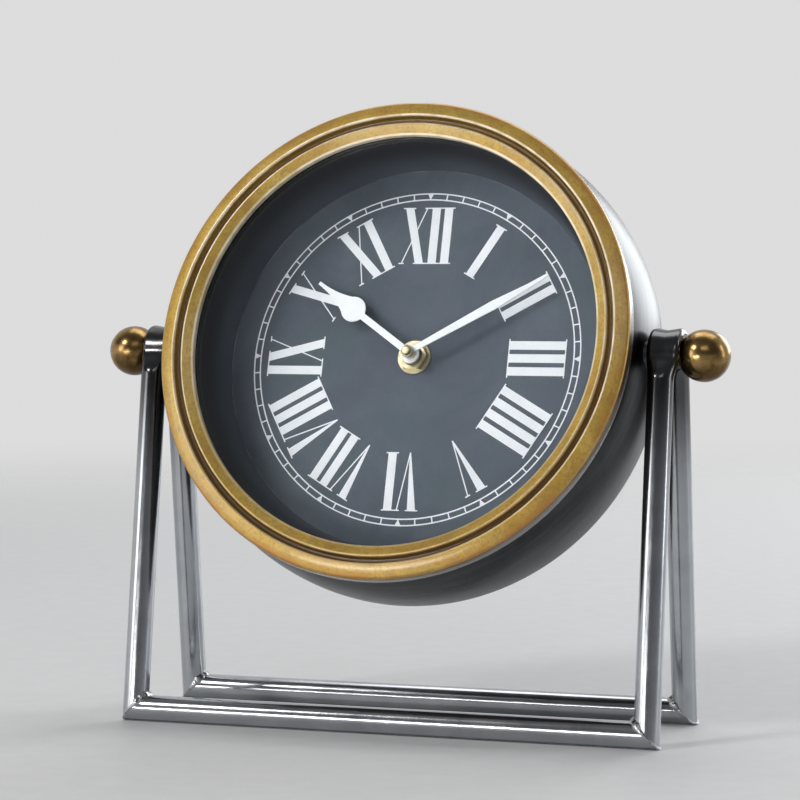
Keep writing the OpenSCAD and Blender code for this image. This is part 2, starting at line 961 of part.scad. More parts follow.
module movement_housing() {
    divider = bay_top + movement_wall / 2;
    color("DarkSlateGray")
        in_case()
            difference() {
                translate([0, 0, move_back])
                    linear_extrude(height = movement_depth)
                        rounded_square(movement_size, corner_round);
                translate([-half_works, works_foot, move_back - overcut])
                    cube([2 * half_works, half_works - works_foot, works_front - move_back + overcut]);
                translate([-bay_half_length, bay_foot, move_back - overcut])
                    cube([2 * bay_half_length, bay_top - bay_foot, works_front - move_back + overcut]);
                translate([-movement_size, divider, move_back - overcut])
                    cube([2 * movement_size, movement_size, movement_wall + overcut]);
                rod_z(works_front - overcut, move_front + overcut, bush_radius);
                bearing_holes(works_front - overcut, works_front + bearing_depth);
            }
}

module movement_cover() {
    divider = bay_top + movement_wall / 2;
    color("DimGray")
        in_case()
            difference() {
                translate([0, 0, move_back])
                    linear_extrude(height = movement_wall)
                        intersection() {
                            rounded_square(movement_size, corner_round);
                            translate([-movement_size, divider])
                                square([2 * movement_size, movement_size]);
                        }
                bearing_holes(works_back - bearing_depth, works_back + overcut);
                rod_z(works_back - bearing_depth, works_back + overcut, pivot_radius + running_clearance);
                translate(motion_axis)
                    rod_z(move_back - overcut, works_back + overcut, knob_shaft + running_clearance);
            }
}

module threaded_bush() {
    collar = 1.2;
    collar_height = 0.4;
    color("Gold")
        in_case()
            difference() {
                union() {
                    rod_z(works_front - collar_height, bush_top, bush_radius);
                    rod_z(works_front - collar_height, works_front, bush_radius + collar);
                }
                rod_z(works_front - overcut, bush_top + overcut, pipe_radius + running_clearance);
            }
}

module rubber_washer() {
    color("Black")
        in_case()
            ring_z(move_front, dial_back, dial_washer / 2, bush_radius);
}

module dial_washer_ring() {
    color("Gold")
        in_case()
            ring_z(dial_front, dial_front + washer_thickness, dial_washer / 2, bush_radius);
}

module dial_nut() {
    foot = dial_front + washer_thickness;
    color("Gold")
        in_case()
            difference() {
                translate([0, 0, foot])
                    cylinder(h = nut_height, r = nut_flats / 2 / cos(30), $fn = 6);
                rod_z(foot - overcut, foot + nut_height + overcut, bush_radius);
            }
}

module battery() {
    left = -bay_half_length + contact_room;
    color("SteelBlue")
        in_case()
            translate([0, bay_middle, battery_axis]) {
                rod_x(left, left + battery_length, battery_radius);
                rod_x(left + battery_length, left + battery_length + nub_length, nub_radius);
            }
}

// A spring strip against the bay's right end, with its bump towards the battery
module contact() {
    height = 10;
    width = 8;
    color("Silver")
        in_case()
            translate([0, bay_middle, battery_axis]) {
                translate([bay_half_length - contact_sheet, -width / 2, -height / 2])
                    cube([contact_sheet, width, height]);
                rod_x(bay_half_length - contact_room, bay_half_length - contact_sheet, nub_radius);
            }
}

module positive_contact() {
    contact();
}

module negative_contact() {
    mirror([1, 0, 0])
        contact();
}

module circuit_board() {
    color("DarkGreen")
        in_case()
            translate([board_left, board_foot, works_back])
                cube([half_works - board_left, half_works - board_foot, board_thickness]);
}

module quartz_crystal() {
    middle = (board_left + half_works) / 2;
    color("Silver")
        in_case()
            translate([middle, (board_foot + half_works) / 2, board_front + crystal_radius])
                rod_x(-crystal_length / 2, crystal_length / 2, crystal_radius);
}

module coil_winding() {
    color("Chocolate")
        in_case()
            translate([coil_middle, coil_axis_y, core_z])
                difference() {
                    rod_x(-coil_length / 2, coil_length / 2, coil_radius);
                    rod_x(-coil_length, coil_length, bobbin_radius);
                }
}

module coil_bobbin() {
    flange = 0.8;
    half = coil_length / 2;
    color("White")
        in_case()
            translate([coil_middle, coil_axis_y, core_z])
                difference() {
                    union() {
                        rod_x(-half, half, bobbin_radius);
                        rod_x(-half - flange, -half, coil_radius);
                        rod_x(half, half + flange, coil_radius);
                    }
                    translate([-coil_length, -core_width / 2, -core_width / 2])
                        cube([2 * coil_length, core_width, core_width]);
                }
}

module stator() {
    foot = rotor_axis.y - stator_width / 2;
    height = coil_axis_y - foot + core_width / 2;
    color("Silver")
        in_case()
            difference() {
                union() {
                    translate([stator_left, foot, stator_front - stator_thickness])
                        cube([stator_right - stator_left, stator_width, stator_thickness]);
                    for (x = [stator_left, stator_right - core_width])
                        translate([x, foot, stator_front - stator_thickness])
                            cube([core_width, height, stator_thickness]);
                    translate([stator_left, coil_axis_y - core_width / 2, stator_front])
                        cube([stator_right - stator_left, core_width, core_width]);
                }
                translate(rotor_axis)
                    rod_z(works_back, works_front, magnet_radius + assembly_clearance);
            }
}

// Involute teeth, thinned so that meshing wheels never bind
addendum = 0.75;
dedendum = 1.15;
tooth_share = 0.78;
pressure_angle = 20;
function involute(radius, base) =
    radius <= base ? 0 : let (a = acos(base / radius)) tan(a) * 180 / PI - a;
function half_tooth(radius, pitch, base, teeth) =
    90 / teeth * tooth_share + involute(pitch, base) - involute(radius, base);
function gear_outline(module_size, teeth) =
    let (
        pitch = module_size * teeth / 2,
        base = pitch * cos(pressure_angle),
        root = pitch - dedendum * module_size,
        tip = pitch + addendum * module_size,
        flank = [for (k = [0 : 3]) max(base, root) + (tip - max(base, root)) * k / 3],
        radii = root < base ? concat([root], flank) : flank
    )
    [
        for (i = [0 : teeth - 1])
            for (p = concat(
                [for (r = radii) [r, -half_tooth(r, pitch, base, teeth)]],
                [for (k = [len(radii) - 1 : -1 : 0]) [radii[k], half_tooth(radii[k], pitch, base, teeth)]]
            ))
                polar(p[0], 360 * i / teeth + p[1])
    ];

module wheel(k, module_size, teeth) {
    translate([0, 0, layer(k) - wheel_thickness])
        linear_extrude(height = wheel_thickness)
            polygon(gear_outline(module_size, teeth));
}

module pinion(k, module_size, teeth) {
    translate([0, 0, layer(k) - wheel_thickness - pinion_extra])
        linear_extrude(height = wheel_thickness + 2 * pinion_extra)
            polygon(gear_outline(module_size, teeth));
}

// A wheel's spindle: a hub between two layers and pivots that end inside both plates
module spindle(hub_front, hub_back) {
    rod_z(works_back - pivot_depth, works_front + pivot_depth, pivot_radius);
    rod_z(hub_back, hub_front, hub_radius);
}

module rotor() {
    magnet_front = stator_front - stator_thickness / 2 + magnet_thickness / 2;
    color("DarkGray")
        in_case()
            translate(rotor_axis)
                rotate(rotor_turn) {
                    spindle(magnet_front, layer(5));
                    pinion(5, train_module, rotor_pinion_teeth);
                    rod_z(magnet_front - magnet_thickness, magnet_front, magnet_radius);
                }
}

module intermediate_wheel() {
    color("Ivory")
        in_case()
            translate(intermediate_axis)
                rotate(intermediate_turn) {
                    spindle(layer(4), layer(5));
                    pinion(4, train_module, intermediate_pinion_teeth);
                    wheel(5, train_module, intermediate_teeth);
                }
}

module seconds_wheel() {
    color("Ivory")
        in_case()
            translate(seconds_axis)
                rotate(seconds_turn) {
                    spindle(layer(3), layer(4));
                    pinion(3, train_module, seconds_pinion_teeth);
                    wheel(4, train_module, seconds_teeth);
                }
}

module third_wheel() {
    color("Ivory")
        in_case()
            translate(third_axis)
                rotate(third_turn) {
                    spindle(layer(2), layer(3));
                    pinion(2, centre_module, third_pinion_teeth);
                    wheel(3, train_module, third_teeth);
                }
}

module centre_wheel() {
    color("Ivory")
        in_case()
            difference() {
                wheel(2, centre_module, centre_teeth);
                rod_z(works_back, works_front, stud_radius + running_clearance);
            }
}

module minute_arbor() {
    shoulder = layer(2) - wheel_thickness - pinion_extra;
    color("Silver")
        in_case() {
            rod_z(works_back - pivot_depth, shoulder, pivot_radius);
            rod_z(shoulder, layer(1), stud_radius);
            pinion(1, motion_module, cannon_teeth);
            rod_z(layer(1), minute_back, shaft_radius);
            rod_z(minute_back, hand_front + hand_nut_height / 2, stud_radius);
        }
}

module hour_wheel() {
    color("Ivory")
        in_case()
            difference() {
                union() {
                    rotate(hour_turn)
                        wheel(0, motion_module, hour_teeth);
                    rod_z(layer(0) - wheel_thickness, hour_back + 2 * hand_thickness, pipe_radius);
                }
                rod_z(works_back, minute_back, pipe_bore);
            }
}

module motion_wheel() {
    color("Ivory")
        in_case()
            translate(motion_axis)
                rotate(motion_turn) {
                    pinion(0, motion_module, motion_pinion_teeth);
                    wheel(1, motion_module, motion_teeth);
                    rod_z(layer(0), works_front + pivot_depth, pivot_radius);
                    rod_z(move_back - knob_height, layer(0), knob_shaft);
                }
}

module setting_knob() {
    grip_count = 12;
    grip_radius = 0.9;
    knob_front = move_back - assembly_clearance;
    color("Black")
        in_case()
            translate(motion_axis)
                difference() {
                    rod_z(knob_front - knob_height, knob_front, knob_diameter / 2);
                    rod_z(move_back - knob_height, move_back, knob_shaft);
                    for (i = [0 : grip_count - 1])
                        rotate(360 / grip_count * i)
                            translate([knob_diameter / 2, 0, 0])
                                rod_z(knob_front - knob_height - overcut, knob_front + overcut, grip_radius);
                }
}

// Half the hour hand's width past its disc, narrowing in a hollow curve to the tip
function spade_half(t) = hour_tip / 2 + (blade_root.y - hour_tip / 2) * pow(1 - t, blade_hollow);

module hour_hand() {
    steps = 10;
    start = disc_centre + blade_root.x;
    blade = [for (i = [0 : steps]) [start + (hour_length - start) * i / steps, spade_half(i / steps)]];
    color("White")
        in_case()
            rotate(90 - hour_angle)
                translate([0, 0, hour_back])
                    linear_extrude(height = hand_thickness)
                        difference() {
                            union() {
                                circle(r = pipe_radius + stem_width / 2);
                                translate([0, -stem_width / 2])
                                    square([disc_centre, stem_width]);
                                translate([disc_centre, 0])
                                    circle(r = disc_radius);
                                polygon(concat(
                                    [[disc_centre, 0]],
                                    [for (p = blade) [p.x, -p.y]],
                                    [for (i = [steps : -1 : 0]) blade[i]]
                                ));
                            }
                            circle(r = pipe_radius);
                        }
}

module minute_hand() {
    color("White")
        in_case()
            rotate(90 - minute_angle)
                translate([0, 0, minute_back])
                    linear_extrude(height = hand_thickness)
                        difference() {
                            union() {
                                circle(r = stud_radius + leaf_root / 2);
                                polygon([
                                    [0, -leaf_root / 2],
                                    [leaf_centre, -leaf_width / 2],
                                    [minute_length, -minute_tip / 2],
                                    [minute_length, minute_tip / 2],
                                    [leaf_centre, leaf_width / 2],
                                    [0, leaf_root / 2]
                                ]);
                            }
                            circle(r = stud_radius);
                        }
}

module hand_nut() {
    foot = hand_front;
    top = hand_front + hand_nut_height;
    nut_radius = stud_radius + nut_foot_wall;
    tip_radius = stud_radius + nut_cap_wall;
    color("Gold")
        in_case()
            difference() {
                union() {
                    rod_z(foot, foot + hand_nut_height / 2, nut_radius);
                    rod_z(foot, top, tip_radius);
                }
                rod_z(foot - overcut, foot + hand_nut_height / 2, stud_radius);
            }
}

front_base_bar();
rear_base_bar();
left_leg_tube();
right_leg_tube();
left_pivot_sleeve();
right_pivot_sleeve();
case_drum();
bezel();
glass();
glass_seal();
dial_surround();
dial_plate();
hour_numerals();
minute_track();
dial_brackets();
dial_screws();
back_cover();
back_cover_screws();
pivot_pads();
pivot_bolts();
pivot_spacers();
knob_washers();
left_ball_knob();
right_ball_knob();
movement_housing();
movement_cover();
threaded_bush();
rubber_washer();
dial_washer_ring();
dial_nut();
battery();
positive_contact();
negative_contact();
circuit_board();
quartz_crystal();
coil_winding();
coil_bobbin();
stator();
rotor();
intermediate_wheel();
seconds_wheel();
third_wheel();
centre_wheel();
minute_arbor();
hour_wheel();
motion_wheel();
setting_knob();
hour_hand();
minute_hand();
hand_nut();
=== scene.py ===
import json
import math

import bmesh
import bpy
from mathutils import Matrix, Vector


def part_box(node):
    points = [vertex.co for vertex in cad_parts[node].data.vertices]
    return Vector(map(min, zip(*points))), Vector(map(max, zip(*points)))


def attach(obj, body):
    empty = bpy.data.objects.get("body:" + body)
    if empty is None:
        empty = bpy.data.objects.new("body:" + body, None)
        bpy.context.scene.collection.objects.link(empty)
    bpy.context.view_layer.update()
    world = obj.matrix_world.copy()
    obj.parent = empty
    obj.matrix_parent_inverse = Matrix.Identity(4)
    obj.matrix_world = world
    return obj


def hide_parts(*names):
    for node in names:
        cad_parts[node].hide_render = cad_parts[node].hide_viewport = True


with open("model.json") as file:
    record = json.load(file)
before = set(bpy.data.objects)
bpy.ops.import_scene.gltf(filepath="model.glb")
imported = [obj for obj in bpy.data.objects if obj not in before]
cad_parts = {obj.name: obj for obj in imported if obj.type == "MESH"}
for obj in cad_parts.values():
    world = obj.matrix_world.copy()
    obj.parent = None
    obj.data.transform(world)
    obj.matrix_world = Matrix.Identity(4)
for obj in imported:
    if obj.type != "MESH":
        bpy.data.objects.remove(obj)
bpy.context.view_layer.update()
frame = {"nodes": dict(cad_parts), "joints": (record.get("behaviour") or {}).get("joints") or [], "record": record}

# Sizes are in millimetres, and places of lamps, camera and patterns in metres
mm = 0.001
to_metres = Matrix.Scale(mm, 4)


def joint(name):
    return next(j for j in frame["joints"] if j["name"] == name)


def ends_in_x(node):
    """The least and the greatest x of a node, to a thousandth."""
    low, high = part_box(node)
    return round(low.x / mm, 3), round(high.x / mm, 3)


# The case: x to the right, y to the dial's top, z out of the dial, from the pivot axis
pivot = Vector(joint("case_tilt")["pos_m"])
right = Vector((1, 0, 0))
out_of_dial = -Vector(joint("minute_hand_turn")["axis"]).normalized()
dial_top = out_of_dial.cross(right)
case_turn = Matrix((right, dial_top, out_of_dial)).transposed()
case_place = Matrix.Translation(pivot) @ case_turn.to_4x4() @ to_metres

# Sleeves and balls, by their distance from the middle
sleeve_inner, sleeve_outer = ends_in_x("right_pivot_sleeve")
sleeve_radius = 6
sleeve_bore = 3.05
sleeve_edge = 0.5
ball_seat, ball_end = ends_in_x("right_ball_knob")
ball_radius = 10.5
ball_middle = ball_end - ball_radius
bolt_hole_end = 127.6

# Stand
pivot_height = pivot.z / mm
front_reach = 34
rear_reach = 26
tube_radius = 5.25
leg_middle = (sleeve_inner + sleeve_outer) / 2
flatten_length = 11
bend_half_thickness = 2.6
bend_half_width = bend_half_thickness + (tube_radius - bend_half_thickness) * math.pi / 2
dish_length = 5
dish_edge = 0.5
dish_crown = 0.6
mitre_spare = 9
bar_spare = 7
bead_least = 0.34
bead_swell = 1.15
bead_stretch = 1.5
bead_sink = 0.3
bead_lift = 0.12
bead_foot = 0.06

# Drum, as radius and depth in the case
drum_front = 17.5
drum_back = -30.5
drum_wall = 1
front_round = 0.5
flange_bore = 92.4
back_opening = 74.01
back_chamfer = 0.2
bulge_radius = 100
bulge_middle = (2, -10.5)
corner_round = 8
corner_depth = drum_back + corner_round
corner_reach = math.sqrt((bulge_radius - corner_round) ** 2 - (bulge_middle[1] - corner_depth) ** 2)
corner_middle = (bulge_middle[0] + corner_reach, corner_depth)
inside_solid = 0.02
corner_radius = corner_round - inside_solid

# Bezel, as radius and depth in the case
bezel_radius = 100
bezel_front = 27.5
bezel_back = 19
bezel_edge = 0.6
rim_round = 1.9
rim_depth = 24.45
band_round = 0.8
band_bow = 0.12
groove_outer = 93.5
groove_inner = 91
groove_depth = 3.4
groove_radius = (groove_outer - groove_inner) / 2
groove_middle = ((groove_outer + groove_inner) / 2, bezel_front - groove_depth + groove_radius)
inner_crest = bezel_front - 2 * band_round
lens_radius = 86
lip_front = 24.5
lip_back = 22.3
lip_edge = 0.5
seal_radius = 90.2
collar_back = 16
collar_step = flange_bore + 2

# Hub, as radius and depth in the case
dial_front = -7.4
bush_radius = 4
washer_radius = 7.3
washer_thickness = 0.8
washer_front = dial_front + washer_thickness
washer_foot = 0.3
washer_edge = 0.45
nut_half_flats = 5.5
nut_corner = 6.3
nut_face = 5.9
nut_chamfer = 0.45
nut_bevel = 0.3
nut_height = 2.4
nut_front = washer_front + nut_height
hand_front = 1.2
stud_radius = 1.2
cap_flange = 2.6
cap_flange_height = 1.6
cap_flange_front = hand_front + cap_flange_height
cap_flange_foot = 0.25
cap_flange_edge = 0.4
cap_radius = 1.9
neck_flare = 0.05
neck_foot = 0.02
neck_height = 0.15
cap_height = 3.2
cap_front = hand_front + cap_height
cap_edge = 0.7

# Back cover, as radius and depth in the case
cover_radius = 81
cover_thickness = 0.8
cover_front = drum_back
cover_back = cover_front - cover_thickness
cover_edge = 0.4
chamfer_width = 0.1
chamfer_depth = 0.15
window_half = 31
window_corner = 3
window_edge = 0.35
window_margin = 2.2


# Shapes

def arc(centre, radius, start, end, steps):
    """Points on an arc, with its angles in degrees."""
    turns = [math.radians(start + (end - start) * i / steps) for i in range(steps + 1)]
    return [(centre[0] + radius * math.cos(a), centre[1] + radius * math.sin(a)) for a in turns]


def bow(start, end, rise, steps):
    """Points from start to end, bowed out by rise in the middle."""
    a, b = Vector(start), Vector(end)
    side = Vector((a.y - b.y, b.x - a.x)).normalized()
    shares = [i / steps for i in range(steps + 1)]
    return [tuple(a.lerp(b, t) + side * (rise * math.sin(math.pi * t))) for t in shares]


def smooth(t):
    t = min(max(t, 0.0), 1.0)
    return t * t * (3 - 2 * t)


def lathe(outline, steps):
    """A closed outline of radius and height, turned about the z axis."""
    bm = bmesh.new()
    ring = [bm.verts.new((r, 0, h)) for r, h in outline]
    sides = [bm.edges.new((a, b)) for a, b in zip(ring, ring[1:] + ring[:1])]
    bmesh.ops.spin(
        bm, geom=ring + sides, axis=(0, 0, 1), cent=(0, 0, 0),
        angle=2 * math.pi, steps=steps, use_merge=True,
    )
    return bm


def loft(sections, ends_meet=False):
    """A skin over sections that have the same number of points."""
    bm = bmesh.new()
    rings = []
    for points in sections:
        loop = bmesh.ops.create_circle(bm, segments=len(points), radius=1)["verts"]
        rings.append(list(dict.fromkeys(e for v in loop for e in v.link_edges)))
        for v, p in zip(loop, points):
            v.co = p
    pairs = list(zip(rings, rings[1:]))
    if ends_meet:
        pairs.append((rings[-1], rings[0]))
    for low, high in pairs:
        bmesh.ops.bridge_loops(bm, edges=low + high)
    return bm


def cut(bm, spot, facing, **side):
    bmesh.ops.bisect_plane(
        bm, geom=bm.verts[:] + bm.edges[:] + bm.faces[:], plane_co=spot, plane_no=facing, **side
    )


def close_ends(bm):
    bmesh.ops.holes_fill(bm, edges=[e for e in bm.edges if e.is_boundary], sides=0)


def piece(name, bm, body, finish, slot, *nodes, place=to_metres, crease=38):
    bmesh.ops.remove_doubles(bm, verts=bm.verts, dist=0.001)
    bmesh.ops.transform(bm, matrix=place, verts=bm.verts)
    bmesh.ops.recalc_face_normals(bm, faces=bm.faces)
    mesh = bpy.data.meshes.new(name)
    bm.to_mesh(mesh)
    bm.free()
    mesh.shade_smooth()
    mesh.set_sharp_from_angle(angle=math.radians(crease))
    mesh.materials.append(finish)
    made = bpy.data.objects.new(name, mesh)
    bpy.context.scene.collection.objects.link(made)
    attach(made, body)
    if nodes:
        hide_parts(*nodes)


# Finishes

class Nodes:
    """A node tree with short names for the nodes used here."""

    def __init__(self, tree):
        self.tree = tree
        self.tree.nodes.clear()

    def add(self, kind, **settings):
        node = self.tree.nodes.new(kind)
        for key, value in settings.items():
            setattr(node, key, value)
        return node

    def link(self, source, target):
        self.tree.links.new(source, target)

    def feed(self, target, value):
        if isinstance(value, bpy.types.NodeSocket):
            self.link(value, target)
        else:
            target.default_value = value

    def vector(self, operation, a, b=None, result="Vector"):
        node = self.add("ShaderNodeVectorMath", operation=operation)
        self.feed(node.inputs[0], a)
        if b is not None:
            self.feed(node.inputs[1], b)
        return node.outputs[result]

    def maths(self, operation, a, b=0.0):
        node = self.add("ShaderNodeMath", operation=operation)
        self.feed(node.inputs[0], a)
        self.feed(node.inputs[1], b)
        return node.outputs["Value"]

    def plus(self, a, b):
        return self.maths("ADD", a, b)

    def minus(self, a, b):
        return self.maths("SUBTRACT", a, b)

    def times(self, a, b):
        return self.maths("MULTIPLY", a, b)

    def larger(self, a, b):
        return self.maths("MAXIMUM", a, b)

    def mean(self, a, b, share=0.5):
        """A mean of two patterns, in which the first has this share."""
        return self.plus(self.times(a, share), self.times(b, 1 - share))

    def uneven(self, value, pattern, reach):
        """A value that a pattern moves up and down."""
        return self.plus(value, self.times(self.minus(pattern, 0.5), reach))

    def parts(self, vector):
        node = self.add("ShaderNodeSeparateXYZ")
        self.link(vector, node.inputs["Vector"])
        return node.outputs

    def join(self, x, y, z):
        node = self.add("ShaderNodeCombineXYZ")
        for target, value in zip(node.inputs, (x, y, z)):
            self.feed(target, value)
        return node.outputs["Vector"]

    def noise(self, vector, scale, detail=4.0, roughness=0.55, distortion=0.0):
        node = self.add("ShaderNodeTexNoise")
        self.link(vector, node.inputs["Vector"])
        node.inputs["Scale"].default_value = scale
        node.inputs["Detail"].default_value = detail
        node.inputs["Roughness"].default_value = roughness
        node.inputs["Distortion"].default_value = distortion
        return node.outputs["Fac"]

    def cells(self, vector, scale, feature="F1"):
        node = self.add("ShaderNodeTexVoronoi", feature=feature)
        self.link(vector, node.inputs["Vector"])
        node.inputs["Scale"].default_value = scale
        return node.outputs["Distance"]

    def span(self, value, low, high, to_low=0.0, to_high=1.0, curve="SMOOTHSTEP"):
        node = self.add("ShaderNodeMapRange", interpolation_type=curve)
        self.link(value, node.inputs["Value"])
        node.inputs["From Min"].default_value = low
        node.inputs["From Max"].default_value = high
        node.inputs["To Min"].default_value = to_low
        node.inputs["To Max"].default_value = to_high
        return node.outputs["Result"]

    def ramp(self, value, *stops):
        node = self.add("ShaderNodeValToRGB")
        self.link(value, node.inputs["Fac"])
        marks = node.color_ramp.elements
        while len(marks) < len(stops):
            marks.new(0.5)
        for mark, (at, colour) in zip(marks, stops):
            mark.position = at
            mark.color = (*colour, 1)
        return node.outputs["Color"]

    def mix(self, share, a, b):
        node = self.add("ShaderNodeMix", data_type="RGBA")
        self.feed(node.inputs["Factor"], share)
        for target, value in ((node.inputs[6], a), (node.inputs[7], b)):
            self.feed(target, value if isinstance(value, bpy.types.NodeSocket) else (*value, 1))
        return node.outputs[2]

    def blend(self, share, a, b):
        node = self.add("ShaderNodeMixShader")
        for target, source in zip(node.inputs, (share, a, b)):
            self.link(source, target)
        return node.outputs["Shader"]


class Finish(Nodes):
    """A material, its shader and the places its patterns are drawn in."""

    def __init__(self, name, **sockets):
        self.material = bpy.data.materials.new(name)
        self.material.use_nodes = True
        super().__init__(self.material.node_tree)
        self.out = self.add("ShaderNodeOutputMaterial")
        self.skin = self.add("ShaderNodeBsdfPrincipled")
        self.link(self.skin.outputs["BSDF"], self.out.inputs["Surface"])
        for socket, value in sockets.items():
            self.skin.inputs[socket.replace("_", " ")].default_value = value

    def mapped(self, kind, **sockets):
        node = self.add("ShaderNodeMapping", vector_type=kind)
        for socket, value in sockets.items():
            node.inputs[socket].default_value = value
        self.link(self.add("ShaderNodeTexCoord").outputs["Object"], node.inputs["Vector"])
        return node.outputs["Vector"]

    def place(self, stretch=(1, 1, 1)):
        return self.mapped("POINT", Scale=stretch)

    def place_in_case(self):
        """The place along the case's own axes, from the pivot."""
        return self.mapped("TEXTURE", Location=pivot, Rotation=case_turn.to_euler())

    def round_the_dial(self):
        """Radius and depth in the case, and a direction that closes on itself."""
        x, y, depth = self.parts(self.place_in_case())
        flat = self.join(x, y, 0.0)
        return self.vector("LENGTH", flat, result="Value"), depth, self.vector("NORMALIZE", flat)

    def spun_lines(self, round_the_dial, fine, along):
        """Noise drawn out round the dial: fine across, long along."""
        radius, depth, heading = round_the_dial
        across = self.join(self.times(radius, fine), self.times(depth, fine), 0.0)
        around = self.vector("MULTIPLY", heading, (along, along, along))
        return self.noise(self.vector("ADD", across, around), 1.0, 4, 0.6)

    def colour(self, value):
        self.link(value, self.skin.inputs["Base Color"])

    def rough(self, pattern, low, high):
        self.link(self.span(pattern, 0.25, 0.75, low, high), self.skin.inputs["Roughness"])

    def bump(self, *layers):
        """Layers are a height, its strength and its depth in millimetres."""
        below = None
        for height, strength, depth in layers:
            node = self.add("ShaderNodeBump")
            node.inputs["Strength"].default_value = strength
            node.inputs["Distance"].default_value = depth * mm
            self.link(height, node.inputs["Height"])
            if below is not None:
                self.link(below, node.inputs["Normal"])
            below = node.outputs["Normal"]
        self.link(below, self.skin.inputs["Normal"])

    def clear_where(self, share):
        see_through = self.add("ShaderNodeBsdfTransparent").outputs["BSDF"]
        self.link(self.blend(share, self.skin.outputs["BSDF"], see_through), self.out.inputs["Surface"])


def polished_steel(name, stretch, painted_shade_heights=None):
    """Drawn and polished tube: faint lines along it, patchy rubbing, and painted shade near the bend for the dark
    reflections there.
    """
    steel = Finish(name, Metallic=1.0)
    lines = steel.noise(steel.place(stretch), 1.0, 5, 0.6)
    at = steel.place()
    patches = steel.noise(at, 55, 4, 0.6, 0.4)
    tone = steel.ramp(
        patches, (0.25, (0.38, 0.395, 0.42)), (0.5, (0.44, 0.457, 0.485)), (0.75, (0.5, 0.512, 0.535)))
    tone = steel.mix(steel.span(lines, 0.62, 0.78, 0, 0.3), tone, (0.28, 0.29, 0.31))
    # Painted shade: the colour darkens towards the bend, standing in for the dark reflections there.
    if painted_shade_heights:
        height = steel.uneven(steel.parts(at)[2], patches, 0.03)
        tone = steel.mix(steel.span(height, *painted_shade_heights, 0, 0.86), tone, (0.05, 0.048, 0.047))
    steel.colour(tone)
    steel.rough(steel.mean(lines, patches), 0.13, 0.23)
    steel.bump((lines, 0.12, 0.04), (patches, 0.06, 0.25))
    return steel.material


def weld_steel():
    """Ground weld metal: bright, with a rippled surface and darker pits."""
    weld = Finish("ground_weld", Metallic=1.0)
    at = weld.place()
    lumps = weld.noise(at, 420, 3, 0.5)
    pits = weld.cells(at, 700)
    tone = weld.ramp(
        lumps, (0.3, (0.3, 0.3, 0.32)), (0.6, (0.55, 0.56, 0.58)), (0.8, (0.66, 0.66, 0.67)))
    weld.colour(weld.mix(weld.span(pits, 0.1, 0.3, 0.6, 0), tone, (0.12, 0.11, 0.1)))
    weld.rough(lumps, 0.14, 0.32)
    weld.bump((lumps, 0.6, 0.7), (pits, 0.2, 0.2))
    return weld.material


def dark_steel():
    """Machined steel with an oiled, darkened skin."""
    steel = Finish("dark_machined_steel", Metallic=1.0)
    rings = steel.noise(steel.place((2600, 30, 30)), 1.0, 3)
    stain = steel.noise(steel.place(), 160, 4, 0.6)
    steel.colour(steel.ramp(
        stain, (0.3, (0.05, 0.05, 0.053)), (0.55, (0.13, 0.13, 0.135)), (0.75, (0.2, 0.2, 0.205))))
    steel.rough(stain, 0.22, 0.38)
    steel.bump((rings, 0.25, 0.04))
    return steel.material


